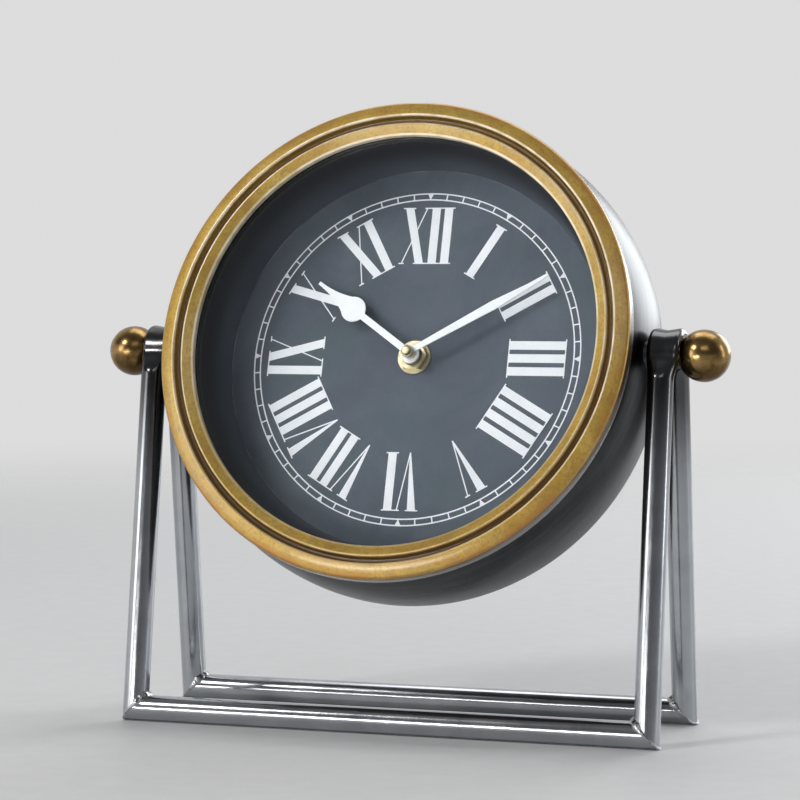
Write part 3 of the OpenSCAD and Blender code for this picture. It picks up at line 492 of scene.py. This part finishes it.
def antique_brass():
    """Satin brass under mottled lacquer, orange at the rim, with painted shade in its groove and on its outer
    wall, and painted highlights along its edges, brightest on the upper side.
    """
    brass = Finish("antique_brass", Metallic=0.62, Coat_Weight=1.0, Coat_Roughness=0.2)
    ring_place = brass.round_the_dial()
    radius, depth, heading = ring_place
    upward = brass.parts(heading)[1]
    at = brass.place()
    lines = brass.spun_lines(ring_place, 1500, 9)
    clouds = brass.noise(at, 42, 5, 0.65, 0.6)
    blots = brass.noise(at, 160, 4, 0.65)
    specks = brass.noise(at, 900, 3, 0.6)

    def past(value, start, end):
        """From 0 at the start to 1 at the end, which are in millimetres."""
        return brass.span(value, start * mm, end * mm)

    def ring(middle, half):
        """A band round the bezel that fades out to both sides."""
        off = brass.maths("ABSOLUTE", brass.minus(radius, middle * mm))
        return past(off, half, half / 2)

    gold = brass.ramp(
        clouds, (0.25, (0.42, 0.225, 0.032)), (0.45, (0.55, 0.34, 0.056)),
        (0.62, (0.63, 0.425, 0.085)), (0.8, (0.72, 0.525, 0.14)))
    gold = brass.mix(brass.span(blots, 0.44, 0.66, 0, 0.5), gold, (0.4, 0.28, 0.06))
    gold = brass.mix(brass.span(specks, 0.46, 0.66, 0, 0.42), gold, (0.3, 0.15, 0.035))
    gold = brass.mix(brass.span(lines, 0.56, 0.75, 0, 0.3), gold, (0.85, 0.66, 0.36))

    rim = past(radius, bezel_radius - 3.5, bezel_radius - 0.8)
    rim_wear = brass.span(brass.noise(at, 60, 4, 0.7), 0.4, 0.62, 0.1, 0.75)
    gold = brass.mix(brass.times(rim, rim_wear), gold, (0.5, 0.21, 0.036))

    # Painted shade: the outer wall next to the drum is painted near black, for the shadow in the gap between bezel
    # and drum.
    outermost = past(radius, bezel_radius - 2.8, bezel_radius - 2)
    wall = brass.times(outermost, past(depth, rim_depth + 0.95, rim_depth - 0.05))
    gold = brass.mix(brass.times(wall, 0.9), gold, (0.045, 0.024, 0.01))

    # Painted shade: the groove is painted dark brown for the shade in it, a little darker towards the bottom.
    sunk = past(depth, bezel_front - 1.1, bezel_front - 2.5)
    groove = brass.times(ring(groove_middle[0], 1.5), sunk)
    groove_shade_by_height = brass.span(upward, -0.9, 0.3, 0.97, 0.8)
    gold = brass.mix(brass.times(groove, groove_shade_by_height), gold, (0.09, 0.047, 0.016))

    # Painted highlight: a pale cream line along the crests beside the groove and along the lip, broken up by noise
    # and stronger on the upper side.
    outer_crest_only = past(depth, bezel_front - 1.1, bezel_front - 0.5)
    outer_edge = brass.times(ring(groove_outer + 0.45, 0.75), outer_crest_only)
    inner_crest_only = past(depth, inner_crest - 0.7, inner_crest + 0.1)
    inner_edge = brass.times(ring(groove_inner - 0.3, 0.75), inner_crest_only)
    lip = ring(lens_radius + 0.3, 0.8)
    edges = brass.larger(outer_edge, brass.larger(inner_edge, lip))
    wear_and_highlight_breakup = brass.span(brass.noise(at, 110, 3), 0.3, 0.6, 0.45, 0.95)
    painted_edge_highlight = brass.times(wear_and_highlight_breakup, brass.span(upward, -0.9, 0.3, 0.25, 1.0))
    brass.colour(brass.mix(brass.times(edges, painted_edge_highlight), gold, (0.97, 0.87, 0.66)))
    brass.rough(brass.mean(lines, clouds, 0.4), 0.44, 0.6)
    brass.bump((specks, 0.4, 0.06), (lines, 0.2, 0.04), (blots, 0.15, 0.14))
    return brass.material


def aged_brass():
    """Dark brass, polished where it is handled, with brown patches and painted shade below its middle."""
    brass = Finish("aged_brass", Metallic=1.0)
    at = brass.place()
    patches = brass.noise(at, 95, 4, 0.6, 0.6)
    specks = brass.noise(at, 1100, 2)
    tone = brass.ramp(
        patches, (0.3, (0.12, 0.07, 0.026)), (0.48, (0.28, 0.175, 0.065)), (0.7, (0.45, 0.3, 0.12)))
    tone = brass.mix(brass.span(specks, 0.56, 0.72, 0, 0.5), tone, (0.08, 0.048, 0.02))
    # Painted shade: the ball is painted darker below its middle, for its shaded, dark-reflecting lower half.
    height = brass.uneven(brass.parts(at)[2], patches, 0.006)
    painted_lower_shade = brass.span(height, pivot.z + 0.001, pivot.z - 0.007, 0, 0.72)
    brass.colour(brass.mix(painted_lower_shade, tone, (0.045, 0.026, 0.012)))
    brass.rough(patches, 0.3, 0.17)
    brass.bump((specks, 0.12, 0.03), (patches, 0.1, 0.25))
    return brass.material


def drum_steel():
    """Spun steel, darkened: fine brushing round the drum, slightly cloudy."""
    steel = Finish("brushed_drum_steel", Metallic=1.0)
    ring_place = steel.round_the_dial()
    lines = steel.spun_lines(ring_place, 2200, 5)
    broad = steel.spun_lines(ring_place, 260, 2.5)
    clouds = steel.noise(steel.place(), 30, 5, 0.6, 0.4)
    tone = steel.ramp(
        clouds, (0.3, (0.032, 0.033, 0.036)), (0.5, (0.046, 0.047, 0.05)), (0.72, (0.064, 0.066, 0.07)))
    tone = steel.mix(steel.span(broad, 0.4, 0.66, 0, 0.4), tone, (0.085, 0.087, 0.092))
    steel.colour(steel.mix(steel.span(lines, 0.56, 0.72, 0, 0.45), tone, (0.022, 0.023, 0.025)))
    steel.rough(steel.mean(lines, clouds, 0.6), 0.24, 0.4)
    steel.bump((lines, 0.22, 0.04), (broad, 0.1, 0.1))
    return steel.material


def turned_brass():
    """Bright turned brass, with tool lines round the clock's axis."""
    brass = Finish("turned_brass", Metallic=1.0)
    lines = brass.spun_lines(brass.round_the_dial(), 1900, 1.5)
    stain = brass.noise(brass.place(), 300, 4, 0.6)
    tone = brass.ramp(
        stain, (0.3, (0.46, 0.4, 0.24)), (0.5, (0.57, 0.51, 0.34)), (0.72, (0.66, 0.61, 0.45)))
    brass.colour(brass.mix(brass.span(lines, 0.52, 0.72, 0, 0.4), tone, (0.3, 0.25, 0.13)))
    brass.rough(lines, 0.3, 0.37)
    brass.bump((lines, 0.05, 0.02))
    return brass.material


def clear_glass():
    """Flat glass that lets light through to the dial, with a trace of dust."""
    glass = Finish("clear_glass", Transmission_Weight=1.0, IOR=1.45, Base_Color=(0.985, 0.995, 1.0, 1))
    dust = glass.noise(glass.place(), 240, 5, 0.7)
    glass.link(glass.span(dust, 0.62, 0.85, 0.0, 0.03), glass.skin.inputs["Roughness"])
    glass.clear_where(glass.add("ShaderNodeLightPath").outputs["Is Shadow Ray"])
    return glass.material


def slate_paint(name, foot=None, shade_rise=20, highlight_heights=(0.9, 0.5)):
    """Chalky slate grey paint with faint clouds. Above a foot it carries painted shade, darkening towards the
    glass, and at the foot a pale painted highlight line.
    """
    paint = Finish(name, Specular_IOR_Level=0.14)
    at = paint.place()
    clouds = paint.noise(at, 17, 5, 0.6, 0.6)
    cool = paint.noise(at, 29, 3)
    tooth = paint.noise(at, 1500, 3, 0.6)
    tone = paint.ramp(
        clouds, (0.3, (0.074, 0.088, 0.113)), (0.5, (0.097, 0.116, 0.144)), (0.7, (0.124, 0.144, 0.174)))
    tone = paint.mix(paint.span(cool, 0.45, 0.7, 0, 0.5), tone, (0.08, 0.119, 0.124))
    tone = paint.mix(paint.span(tooth, 0.5, 0.75, 0, 0.25), tone, (0.06, 0.071, 0.089))
    if foot is not None:
        depth = paint.parts(paint.place_in_case())[2]
        # Painted shade: above the foot the paint darkens towards the glass, for the shade that the bezel casts
        # there.
        painted_shade = paint.span(depth, foot * mm, (foot + shade_rise) * mm, 0.15, 0.9)
        tone = paint.mix(painted_shade, tone, (0.012, 0.013, 0.015))
        # Painted highlight: a pale line at the foot, broken up by noise.
        foot_line = paint.span(depth, *((foot + height) * mm for height in highlight_heights))
        highlight_breakup = paint.span(paint.noise(at, 35, 4, 0.6), 0.4, 0.62, 0, 0.7)
        tone = paint.mix(paint.times(foot_line, highlight_breakup), tone, (0.3, 0.33, 0.37))
    paint.colour(tone)
    paint.rough(clouds, 0.58, 0.72)
    paint.bump((tooth, 0.12, 0.04))
    return paint.material


def plain_finish(name, colour, roughness, grain, depth, spread=0.22, metallic=0.0, patch=70):
    """Plastic, paint, rubber or plated metal: patchy tone over a fine grain."""
    finish = Finish(name, Metallic=metallic)
    at = finish.place()
    patches = finish.noise(at, patch, 4, 0.6, 0.3)
    grains = finish.noise(at, grain, 3, 0.6)
    dark, light = (tuple(part * share for part in colour) for share in (1 - spread, 1 + spread))
    tone = finish.ramp(patches, (0.28, dark), (0.5, colour), (0.74, light))
    finish.colour(finish.mix(finish.span(grains, 0.5, 0.75, 0, 0.3), tone, dark))
    finish.rough(finish.mean(patches, grains), *roughness)
    finish.bump((grains, 0.3, depth), (patches, 0.08, 0.2))
    return finish.material


def plating(name, colour, roughness, depth, metallic=1.0):
    return plain_finish(name, colour, roughness, 900, depth, metallic=metallic, patch=240)


def moulding(name, colour, roughness, depth, spread=0.22):
    return plain_finish(name, colour, roughness, 1500, depth, spread)


def cell_sleeve():
    """Battery sleeve: dark blue with a plain pale band, bare metal at both ends."""
    low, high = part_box("battery")
    sleeve = Finish("battery_sleeve", Metallic=0.35, Coat_Weight=0.4)
    at = sleeve.place()
    along = sleeve.span(sleeve.parts(at)[0], low.x, high.x, curve="LINEAR")
    wear_and_highlight_breakup = sleeve.noise(at, 180, 4, 0.6)
    band = sleeve.ramp(
        along, (0.0, (0.5, 0.5, 0.49)), (0.035, (0.03, 0.05, 0.085)), (0.68, (0.035, 0.06, 0.1)),
        (0.7, (0.42, 0.43, 0.44)), (0.8, (0.45, 0.46, 0.47)), (0.82, (0.03, 0.05, 0.085)),
        (0.93, (0.035, 0.06, 0.1)), (0.95, (0.52, 0.52, 0.5)))
    sleeve.colour(sleeve.mix(sleeve.span(wear_and_highlight_breakup, 0.58, 0.75, 0, 0.35), band, (0.12, 0.13, 0.14)))
    sleeve.rough(wear_and_highlight_breakup, 0.26, 0.4)
    sleeve.bump((wear_and_highlight_breakup, 0.1, 0.08))
    return sleeve.material


def wound_wire(pitch):
    """Enamelled copper wire laid turn beside turn."""
    wire = Finish("enamelled_copper_wire", Metallic=0.85, Coat_Weight=0.5)
    along = wire.parts(wire.place())[0]
    turns = wire.maths("SINE", wire.times(along, 2 * math.pi / (pitch * mm)))
    sheen = wire.noise(wire.place((90, 30, 30)), 1.0, 3)
    tone = wire.ramp(
        sheen, (0.3, (0.34, 0.12, 0.035)), (0.55, (0.5, 0.2, 0.065)), (0.75, (0.6, 0.27, 0.1)))
    # Painted shade: dark lines in the troughs where the turns meet.
    wire.colour(wire.mix(wire.span(turns, -0.4, -1.0, 0, 0.75), tone, (0.09, 0.03, 0.01)))
    wire.rough(sheen, 0.24, 0.36)
    wire.bump((turns, 0.5, 0.1))
    return wire.material


def board_paint():
    """Green solder mask over copper tracks."""
    board = Finish("green_board", Coat_Weight=0.3)
    at = board.place()
    tracks = board.cells(at, 420, "DISTANCE_TO_EDGE")
    weave = board.noise(at, 1400, 2)
    tone = board.ramp(weave, (0.3, (0.012, 0.055, 0.028)), (0.7, (0.022, 0.085, 0.045)))
    board.colour(board.mix(board.span(tracks, 0.1, 0.06, 0, 0.8), tone, (0.04, 0.15, 0.075)))
    board.rough(weave, 0.3, 0.45)
    board.bump((tracks, 0.2, 0.05))
    return board.material


drawn_fine = 1100
drawn_long = 14
# The last pair is the height band, in metres, of the painted shade near the bend.
leg_finish = polished_steel("polished_leg_tube", (drawn_fine, drawn_fine, drawn_long), (0.09, 0.142))
bar_finish = polished_steel("polished_base_bar", (drawn_long, drawn_fine, drawn_fine))
weld_finish = weld_steel()
finishes = {
    "polished_tube": leg_finish,
    "pivot_steel": dark_steel(),
    "drum_steel": drum_steel(),
    "antique_brass": antique_brass(),
    "ball_brass": aged_brass(),
    "lens": clear_glass(),
    "dial_slate": slate_paint("slate_dial_paint"),
    "surround_slate": slate_paint("slate_surround_paint", dial_front),
    "seal_rubber": plain_finish("black_rubber", (0.016, 0.016, 0.017), (0.6, 0.8), 800, 0.06),
    "print_white": plain_finish("white_dial_print", (0.84, 0.88, 0.93), (0.5, 0.65), 1300, 0.02, 0.05),
    "hand_white": plain_finish("white_hand_paint", (0.86, 0.9, 0.94), (0.32, 0.46), 900, 0.02, 0.04),
    "zinc_steel": plating("zinc_plate", (0.42, 0.43, 0.44), (0.25, 0.42), 0.04),
    "cover_black": plain_finish("satin_black_cover", (0.02, 0.02, 0.021), (0.36, 0.5), 520, 0.05),
    "works_black": moulding("black_moulding", (0.018, 0.018, 0.019), (0.42, 0.58), 0.05),
    "works_grey": moulding("grey_moulding", (0.055, 0.057, 0.06), (0.42, 0.58), 0.05),
    "bush_brass": turned_brass(),
    "cell_jacket": cell_sleeve(),
    "contact_nickel": plating("nickel_plate", (0.56, 0.54, 0.5), (0.2, 0.34), 0.03),
    "board_green": board_paint(),
    "copper_wire": wound_wire(0.22),
    "bobbin_white": moulding("white_moulding", (0.72, 0.7, 0.64), (0.4, 0.55), 0.04, 0.1),
    "magnet_grey": plating("plated_magnet", (0.2, 0.2, 0.21), (0.28, 0.42), 0.03, 0.9),
    "wheel_ivory": moulding("ivory_moulding", (0.72, 0.67, 0.54), (0.38, 0.5), 0.03, 0.1),
}

for part in frame["record"]["subparts"]:
    node = frame["nodes"][part["node"]]
    node.data.materials.clear()
    node.data.materials.append(finishes[part["material_slot"]])


# Stand: each leg pair is one tube, bent over the sleeve and flattened there

pivot_middle = Vector((0, 0, pivot_height))
corner_front = Vector((leg_middle, -front_reach, tube_radius))
corner_rear = Vector((leg_middle, rear_reach, tube_radius))
tube_sides = 40
bend_steps = 36
bar_sides = 48
bar_steps = 24


def lean_of(reach):
    rise = pivot_height - tube_radius
    return math.atan2(reach, rise) - math.asin((sleeve_radius + tube_radius) / math.hypot(reach, rise))


def leg_ray(side, reach):
    """The outward and the upward direction of one leg."""
    lean = lean_of(reach)
    outward = Vector((0, side * math.cos(lean), math.sin(lean)))
    upward = Vector((0, -side * math.sin(lean), math.cos(lean)))
    return outward, upward


def stadium(half_width, half_thickness):
    """A flattened round, as points across and out of the bend."""
    straight = half_width - half_thickness
    points = []
    for across, out in arc((0, 0), half_thickness, 0, 360, tube_sides)[:-1]:
        side = (across > 1e-6) - (across < -1e-6)
        points.append((side * straight + across, out))
    return points


def tube_section(centre, outward, flat, dish=0.0):
    """The tube outside the sleeve: flat runs from 0, round, to 1, and dish hollows its outer face."""
    flat = smooth(flat)
    half_width = tube_radius + (bend_half_width - tube_radius) * flat
    half_thickness = tube_radius + (bend_half_thickness - tube_radius) * flat
    seat = centre + outward * (sleeve_radius + half_thickness)
    ring = []
    for across, out in stadium(half_width, half_thickness):
        if out > 0:
            out -= dish * (1 - (across / half_width) ** 2) ** 2
        ring.append(seat + outward * out + right * (leg_middle + across))
    return ring


def leg_sections(side, reach, round_steps=14, flat_steps=12):
    """One leg, from below its mitre up to the bend."""
    outward, upward = leg_ray(side, reach)
    rise = pivot_height - tube_radius
    length = math.sqrt(reach ** 2 + rise ** 2 - (sleeve_radius + tube_radius) ** 2)
    round_length = length - flatten_length
    heights = [(round_length + mitre_spare) * i / round_steps - mitre_spare for i in range(round_steps)]
    heights += [round_length + flatten_length * i / flat_steps for i in range(flat_steps)]
    sections = []
    for height in heights:
        below_bend = length - height
        dish = dish_edge * smooth(1 - below_bend / dish_length)
        sections.append(tube_section(
            pivot_middle - upward * below_bend, outward, 1 - below_bend / flatten_length, dish))
    return sections


def bend_sections():
    """The bend over the sleeve, from the front leg to the rear leg."""
    start = math.pi - lean_of(front_reach)
    end = lean_of(rear_reach)
    sections = []
    for i in range(bend_steps + 1):
        share = i / bend_steps
        turn = start + (end - start) * share
        outward = Vector((0, math.cos(turn), math.sin(turn)))
        dish = dish_edge + dish_crown * math.sin(math.pi * share)
        sections.append(tube_section(pivot_middle, outward, 1.0, dish))
    return sections


def leg_tube(name, node, way):
    bm = loft(leg_sections(-1, front_reach) + bend_sections() + leg_sections(1, rear_reach)[::-1])
    for corner, side, reach in ((corner_front, -1, front_reach), (corner_rear, 1, rear_reach)):
        cut(bm, corner, right + leg_ray(side, reach)[1], clear_inner=True)
    close_ends(bm)
    bmesh.ops.scale(bm, vec=(way, 1, 1), verts=bm.verts)
    piece(name, bm, "stand", leg_finish, "polished_tube", node)


def base_bar(name, node, corner, side, reach):
    """A bar between two mitres. Rings along it keep its slanted ends from tilting the shading between."""
    round_bar = arc((corner.y, corner.z), tube_radius, 0, 360, bar_sides)[:-1]
    end = leg_middle + bar_spare
    places = [2 * end * i / bar_steps - end for i in range(bar_steps + 1)]
    bm = loft([[Vector((x, y, z)) for y, z in round_bar] for x in places])
    upward = leg_ray(side, reach)[1]
    for way in (1, -1):
        cut(bm, (way * corner.x, corner.y, corner.z), right * way + upward, clear_outer=True)
    close_ends(bm)
    piece(name, bm, "stand", bar_finish, "polished_tube", node)


def weld_bead(name, corner, side, reach, way, seed, steps=72):
    """Weld round a mitre: full in the inner crook, ground down to the tube elsewhere."""
    outward, upward = leg_ray(side, reach)
    across = (right * way - upward).normalized()
    facing = (right * way + upward).normalized()
    mitre_middle = Vector((way * corner.x, corner.y, corner.z))
    sections = []
    for i in range(steps):
        a = 2 * math.pi * i / steps
        spot = across * (math.sqrt(2) * tube_radius * math.cos(a)) + outward * (tube_radius * math.sin(a))
        away = (across * math.cos(a) / math.sqrt(2) + outward * math.sin(a)).normalized()
        crook = smooth((0.25 - math.cos(a)) / 1.1)
        ripple = 0.16 * math.sin(9 * a + seed) + 0.12 * math.sin(17 * a + 2.3 * seed)
        size = bead_least + crook * (bead_swell + ripple)
        spine = mitre_middle + spot - away * (bead_sink - bead_lift * crook)
        bead_round = arc((0, 0), size, 0, 360, 14)[:-1]
        ring = [spine + away * x + facing * (bead_stretch * y) for x, y in bead_round]
        sections.append([Vector((p.x, p.y, max(p.z, bead_foot))) for p in ring])
    piece(name, loft(sections, True), "stand", weld_finish, "polished_tube", crease=80)


leg_tube("right_leg", "right_leg_tube", 1)
leg_tube("left_leg", "left_leg_tube", -1)
base_bar("front_bar", "front_base_bar", corner_front, -1, front_reach)
base_bar("rear_bar", "rear_base_bar", corner_rear, 1, rear_reach)
weld_bead("right_front_weld", corner_front, -1, front_reach, 1, 0.7)
weld_bead("left_front_weld", corner_front, -1, front_reach, -1, 2.4)
weld_bead("right_rear_weld", corner_rear, 1, rear_reach, 1, 2.6)
weld_bead("left_rear_weld", corner_rear, 1, rear_reach, -1, 3.7)


# Pivots

def along_pivot(way):
    """Lathe height to distance from the middle along the pivot axis."""
    return Matrix.Translation(pivot) @ Matrix.Rotation(math.radians(90 * way), 4, "Y") @ to_metres


seat_turn = math.degrees(math.asin((ball_seat - ball_middle) / ball_radius))
sleeve_outline = [
    (sleeve_bore, sleeve_inner),
    *arc((sleeve_radius - sleeve_edge, sleeve_inner + sleeve_edge), sleeve_edge, -90, 0, 4),
    *arc((sleeve_radius - sleeve_edge, sleeve_outer - sleeve_edge), sleeve_edge, 0, 90, 4),
    (sleeve_bore, sleeve_outer),
]
ball_outline = [
    (sleeve_bore, ball_seat),
    *arc((0, ball_middle), ball_radius, seat_turn, 90, 40)[:-1],
    (0, ball_end),
    (0, bolt_hole_end),
    (sleeve_bore, bolt_hole_end),
]
for label, way in (("right", 1), ("left", -1)):
    piece(
        f"{label}_sleeve", lathe(sleeve_outline, 96), "stand", finishes["pivot_steel"], "pivot_steel",
        f"{label}_pivot_sleeve", place=along_pivot(way),
    )
    piece(
        f"{label}_ball", lathe(ball_outline, 96), f"{label}_knob", finishes["ball_brass"], "ball_brass",
        f"{label}_ball_knob", place=along_pivot(way),
    )


# Drum

def bulge_turn(depth, radius):
    """The angle on the bulge at which it comes to a depth."""
    return math.degrees(math.asin((depth - bulge_middle[1]) / radius))


corner_turn = math.degrees(math.atan2(corner_depth - bulge_middle[1], corner_reach))
front_turn = bulge_turn(drum_front - front_round, bulge_radius)
inner_turn = bulge_turn(drum_front - drum_wall, bulge_radius - drum_wall)
front_edge = bulge_middle[0] + bulge_radius * math.cos(math.radians(front_turn))
drum_outline = [
    (flange_bore, drum_front),
    (front_edge - 1.4 * front_round, drum_front),
    (front_edge - 0.4 * front_round, drum_front - 0.3 * front_round),
    *arc(bulge_middle, bulge_radius, front_turn, corner_turn, 40),
    *arc(corner_middle, corner_radius, corner_turn, -90, 20)[1:],
    (back_opening + back_chamfer, drum_back),
    (back_opening, drum_back + back_chamfer),
    (back_opening, drum_back + drum_wall),
    *arc(corner_middle, corner_radius - drum_wall, -90, corner_turn, 12),
    *arc(bulge_middle, bulge_radius - drum_wall, corner_turn, inner_turn, 24)[1:],
    (flange_bore, drum_front - drum_wall),
]
piece(
    "drum", lathe(drum_outline, 288), "case", finishes["drum_steel"], "drum_steel", "case_drum",
    place=case_place,
)


# Bezel

crest_arc = arc((groove_outer + band_round, bezel_front - band_round), band_round, 180, 80, 12)
rim_arc = arc((bezel_radius - rim_round, rim_depth), rim_round, 75, 0, 12)
bezel_outline = [
    (lens_radius, lip_back),
    *arc((lens_radius + lip_edge, lip_front - lip_edge), lip_edge, 180, 100, 4),
    *arc((groove_inner - band_round, inner_crest), band_round, 115, 0, 8),
    *arc(groove_middle, groove_radius, 180, 360, 16),
    *crest_arc,
    *bow(crest_arc[-1], rim_arc[0], band_bow, 10)[1:-1],
    *rim_arc,
    *arc((bezel_radius - bezel_edge, bezel_back + bezel_edge), bezel_edge, 0, -90, 4),
    (collar_step, bezel_back),
    (collar_step, drum_front),
    (flange_bore, drum_front),
    (flange_bore, collar_back),
    (seal_radius, collar_back),
    (seal_radius, lip_back),
]
piece(
    "brass_bezel", lathe(bezel_outline, 320), "case", finishes["antique_brass"], "antique_brass", "bezel",
    place=case_place,
)


# Hub: washer, hexagon nut and the cap nut on the hands

def round_section(radius, height, count=96):
    return [Vector((x, y, height)) for x, y in arc((0, 0), radius, 0, 360, count)[:-1]]


def hexagon_section(limit, height):
    """A hexagon whose corners a round limit cuts off."""
    points = []
    for p in round_section(1, height):
        off_flat = math.degrees(math.atan2(p.y, p.x)) % 60 - 30
        reach = min(nut_half_flats / math.cos(math.radians(off_flat)), limit)
        points.append(Vector((p.x * reach, p.y * reach, height)))
    return points


def brass_fitting(name, bm, body, node, crease=38):
    piece(name, bm, body, finishes["bush_brass"], "bush_brass", node, place=case_place, crease=crease)


washer_outline = [
    (bush_radius, dial_front),
    *arc((washer_radius - washer_foot, dial_front + washer_foot), washer_foot, -90, 0, 4),
    *arc((washer_radius - washer_edge, washer_front - washer_edge), washer_edge, 0, 90, 6),
    (bush_radius, washer_front),
]
nut_sections = [
    round_section(bush_radius, washer_front),
    hexagon_section(nut_face, washer_front),
    hexagon_section(nut_corner, washer_front + nut_chamfer),
    hexagon_section(nut_corner, nut_front - nut_chamfer),
    hexagon_section(nut_face, nut_front),
    round_section(bush_radius + nut_bevel, nut_front),
    round_section(bush_radius, nut_front - nut_bevel),
]
cap_outline = [
    (stud_radius, hand_front),
    *arc((cap_flange - cap_flange_foot, hand_front + cap_flange_foot), cap_flange_foot, -90, 0, 3),
    *arc((cap_flange - cap_flange_edge, cap_flange_front - cap_flange_edge), cap_flange_edge, 0, 90, 5),
    (cap_radius + neck_flare, cap_flange_front + neck_foot),
    (cap_radius, cap_flange_front + neck_height),
    *arc((cap_radius - cap_edge, cap_front - cap_edge), cap_edge, 0, 90, 8),
    (0, cap_front),
    (0, cap_flange_front),
    (stud_radius, cap_flange_front),
]
brass_fitting("dial_washer", lathe(washer_outline, 128), "case", "dial_washer_ring")
brass_fitting("hexagon_nut", loft(nut_sections, True), "case", "dial_nut", 24)
brass_fitting("cap_nut", lathe(cap_outline, 64), "minute_works", "hand_nut")


# Back cover: a pressed disc with a rounded window over the movement

cover_points = 192


def window_section(grow, height):
    """A square with round corners, with one point on each ray of a circle's points."""
    half = window_half + grow
    inner = half - (window_corner + grow)
    points = []
    for ray in round_section(1, height, cover_points):
        across, up = abs(ray.x), abs(ray.y)
        reach = half / max(across, up)
        if min(across, up) * reach > inner:
            along = (across + up) * inner
            reach = along + math.sqrt(along ** 2 - 2 * inner ** 2 + (window_corner + grow) ** 2)
        points.append(Vector((ray.x * reach, ray.y * reach, height)))
    return points


disc_edge = [
    (cover_radius - chamfer_width, cover_front),
    (cover_radius, cover_front - chamfer_depth),
    *arc((cover_radius - cover_edge, cover_back + cover_edge), cover_edge, 0, -90, 2),
]
window_lip = [
    (window_margin, cover_back),
    *arc((window_edge, cover_back + window_edge), window_edge, -90, -180, 2),
    (0, cover_front),
]
cover_sections = [round_section(radius, depth, cover_points) for radius, depth in disc_edge]
cover_sections += [window_section(grow, depth) for grow, depth in window_lip]
piece(
    "back_disc", loft(cover_sections, True), "case", finishes["cover_black"], "cover_black", "back_cover",
    place=case_place, crease=30,
)


# Floor, light and camera

def floor_finish():
    paper = Finish("pale_floor", Roughness=0.5, Specular_IOR_Level=0.3)
    at = paper.place()
    speckle = paper.noise(at, 90, 3)
    paper.colour(paper.ramp(speckle, (0.3, (0.77, 0.77, 0.77)), (0.7, (0.8, 0.8, 0.8))))
    paper.clear_where(paper.span(paper.vector("LENGTH", at, result="Value"), 0.4, 1.7))
    return paper.material


floor_radius = 3
floor_drop = 0.0002
floor_mesh = bpy.data.meshes.new("floor")
floor_bm = bmesh.new()
bmesh.ops.create_circle(floor_bm, cap_ends=True, segments=96, radius=floor_radius)
bmesh.ops.translate(floor_bm, vec=(0, 0, -floor_drop), verts=floor_bm.verts)
floor_bm.to_mesh(floor_mesh)
floor_bm.free()
floor_mesh.materials.append(floor_finish())
floor = bpy.data.objects.new("floor", floor_mesh)
bpy.context.scene.collection.objects.link(floor)


def studio():
    """A pale backdrop behind the clock, a bright wall low on the left and a dim room in front."""
    world = bpy.data.worlds.new("studio")
    bpy.context.scene.world = world
    world.use_nodes = True
    walls = Nodes(world.node_tree)
    x, y, z = walls.parts(walls.add("ShaderNodeTexCoord").outputs["Generated"])
    greys = ((0.44, 0.4), (0.52, 0.26), (0.62, 0.08), (0.9, 0.14))
    room = walls.ramp(
        walls.plus(walls.times(z, 0.5), 0.5), *((at, (grey, grey * 1.02, grey * 1.06)) for at, grey in greys))
    left_wall = walls.times(walls.span(x, -0.36, -0.7), walls.span(z, 0.4, 0.2))
    room = walls.mix(left_wall, room, (0.8, 0.8, 0.79))
    seen = walls.add("ShaderNodeBackground")
    walls.link(walls.mix(walls.span(y, -0.2, 0.5), room, (0.72, 0.72, 0.72)), seen.inputs["Color"])
    fill = walls.add("ShaderNodeBackground")
    fill.inputs["Color"].default_value = (0.92, 0.96, 1.0, 1)
    fill.inputs["Strength"].default_value = 0.2
    ray = walls.add("ShaderNodeLightPath").outputs
    mirrored = walls.larger(ray["Is Glossy Ray"], ray["Is Transmission Ray"])
    shown = walls.larger(ray["Is Camera Ray"], mirrored)
    shader = walls.blend(shown, fill.outputs["Background"], seen.outputs["Background"])
    walls.link(shader, walls.add("ShaderNodeOutputWorld").inputs["Surface"])


def lamp(name, at, aim, width, height, watts, tint):
    light = bpy.data.lights.new(name, "AREA")
    light.shape = "RECTANGLE"
    light.size = width
    light.size_y = height
    light.energy = watts
    light.color = tint
    made = bpy.data.objects.new(name, light)
    bpy.context.scene.collection.objects.link(made)
    made.visible_camera = False
    made.location = at
    made.rotation_euler = (Vector(aim) - Vector(at)).to_track_quat("-Z", "Y").to_euler()


studio()
lamp("key_softbox", (-0.99, -1.19, 1.26), (0, 0, 0.15), 0.36, 0.36, 8.2, (1.0, 0.985, 0.96))
lamp("front_softbox", (0.38, -1.05, 0.98), (0, 0, 0.15), 0.7, 0.4, 1.1, (1.0, 0.99, 0.975))
lamp("left_softbox", (-1.1, -1.0, 0.42), (0, 0, 0.12), 0.55, 0.6, 2.3, (1.0, 0.99, 0.98))
lamp("low_softbox", (-0.45, -1.36, 0.1), (0, 0, 0.08), 0.6, 0.12, 3.8, (1.0, 0.98, 0.95))
lamp("right_strip", (1.35, 0.32, 0.5), (0, 0, 0.15), 0.2, 0.9, 2.4, (0.93, 0.97, 1.0))
lamp("overhead_softbox", (0.05, 0.5, 1.4), (0.05, 0.15, 0), 1.3, 0.7, 6, (1.0, 0.995, 0.985))
lamp("back_softbox", (0.6, 1.5, 0.6), (0, 0, 0.16), 0.9, 0.8, 11, (0.95, 0.98, 1.0))

camera_spot = (0.3966, -1.1062, 0.2005)
camera_heading = 19.92
camera_dip = 3.3
camera_roll = -0.34
camera_data = bpy.data.cameras.new("camera")
camera_data.lens = 128.745
camera_data.sensor_width = 36
camera = bpy.data.objects.new("camera", camera_data)
bpy.context.scene.collection.objects.link(camera)
camera.matrix_world = (
    Matrix.Translation(camera_spot)
    @ Matrix.Rotation(math.radians(camera_heading), 4, "Z")
    @ Matrix.Rotation(math.radians(90 - camera_dip), 4, "X")
    @ Matrix.Rotation(math.radians(camera_roll), 4, "Z")
)
bpy.context.scene.camera = camera
bpy.context.scene.view_settings.view_transform = "Standard"
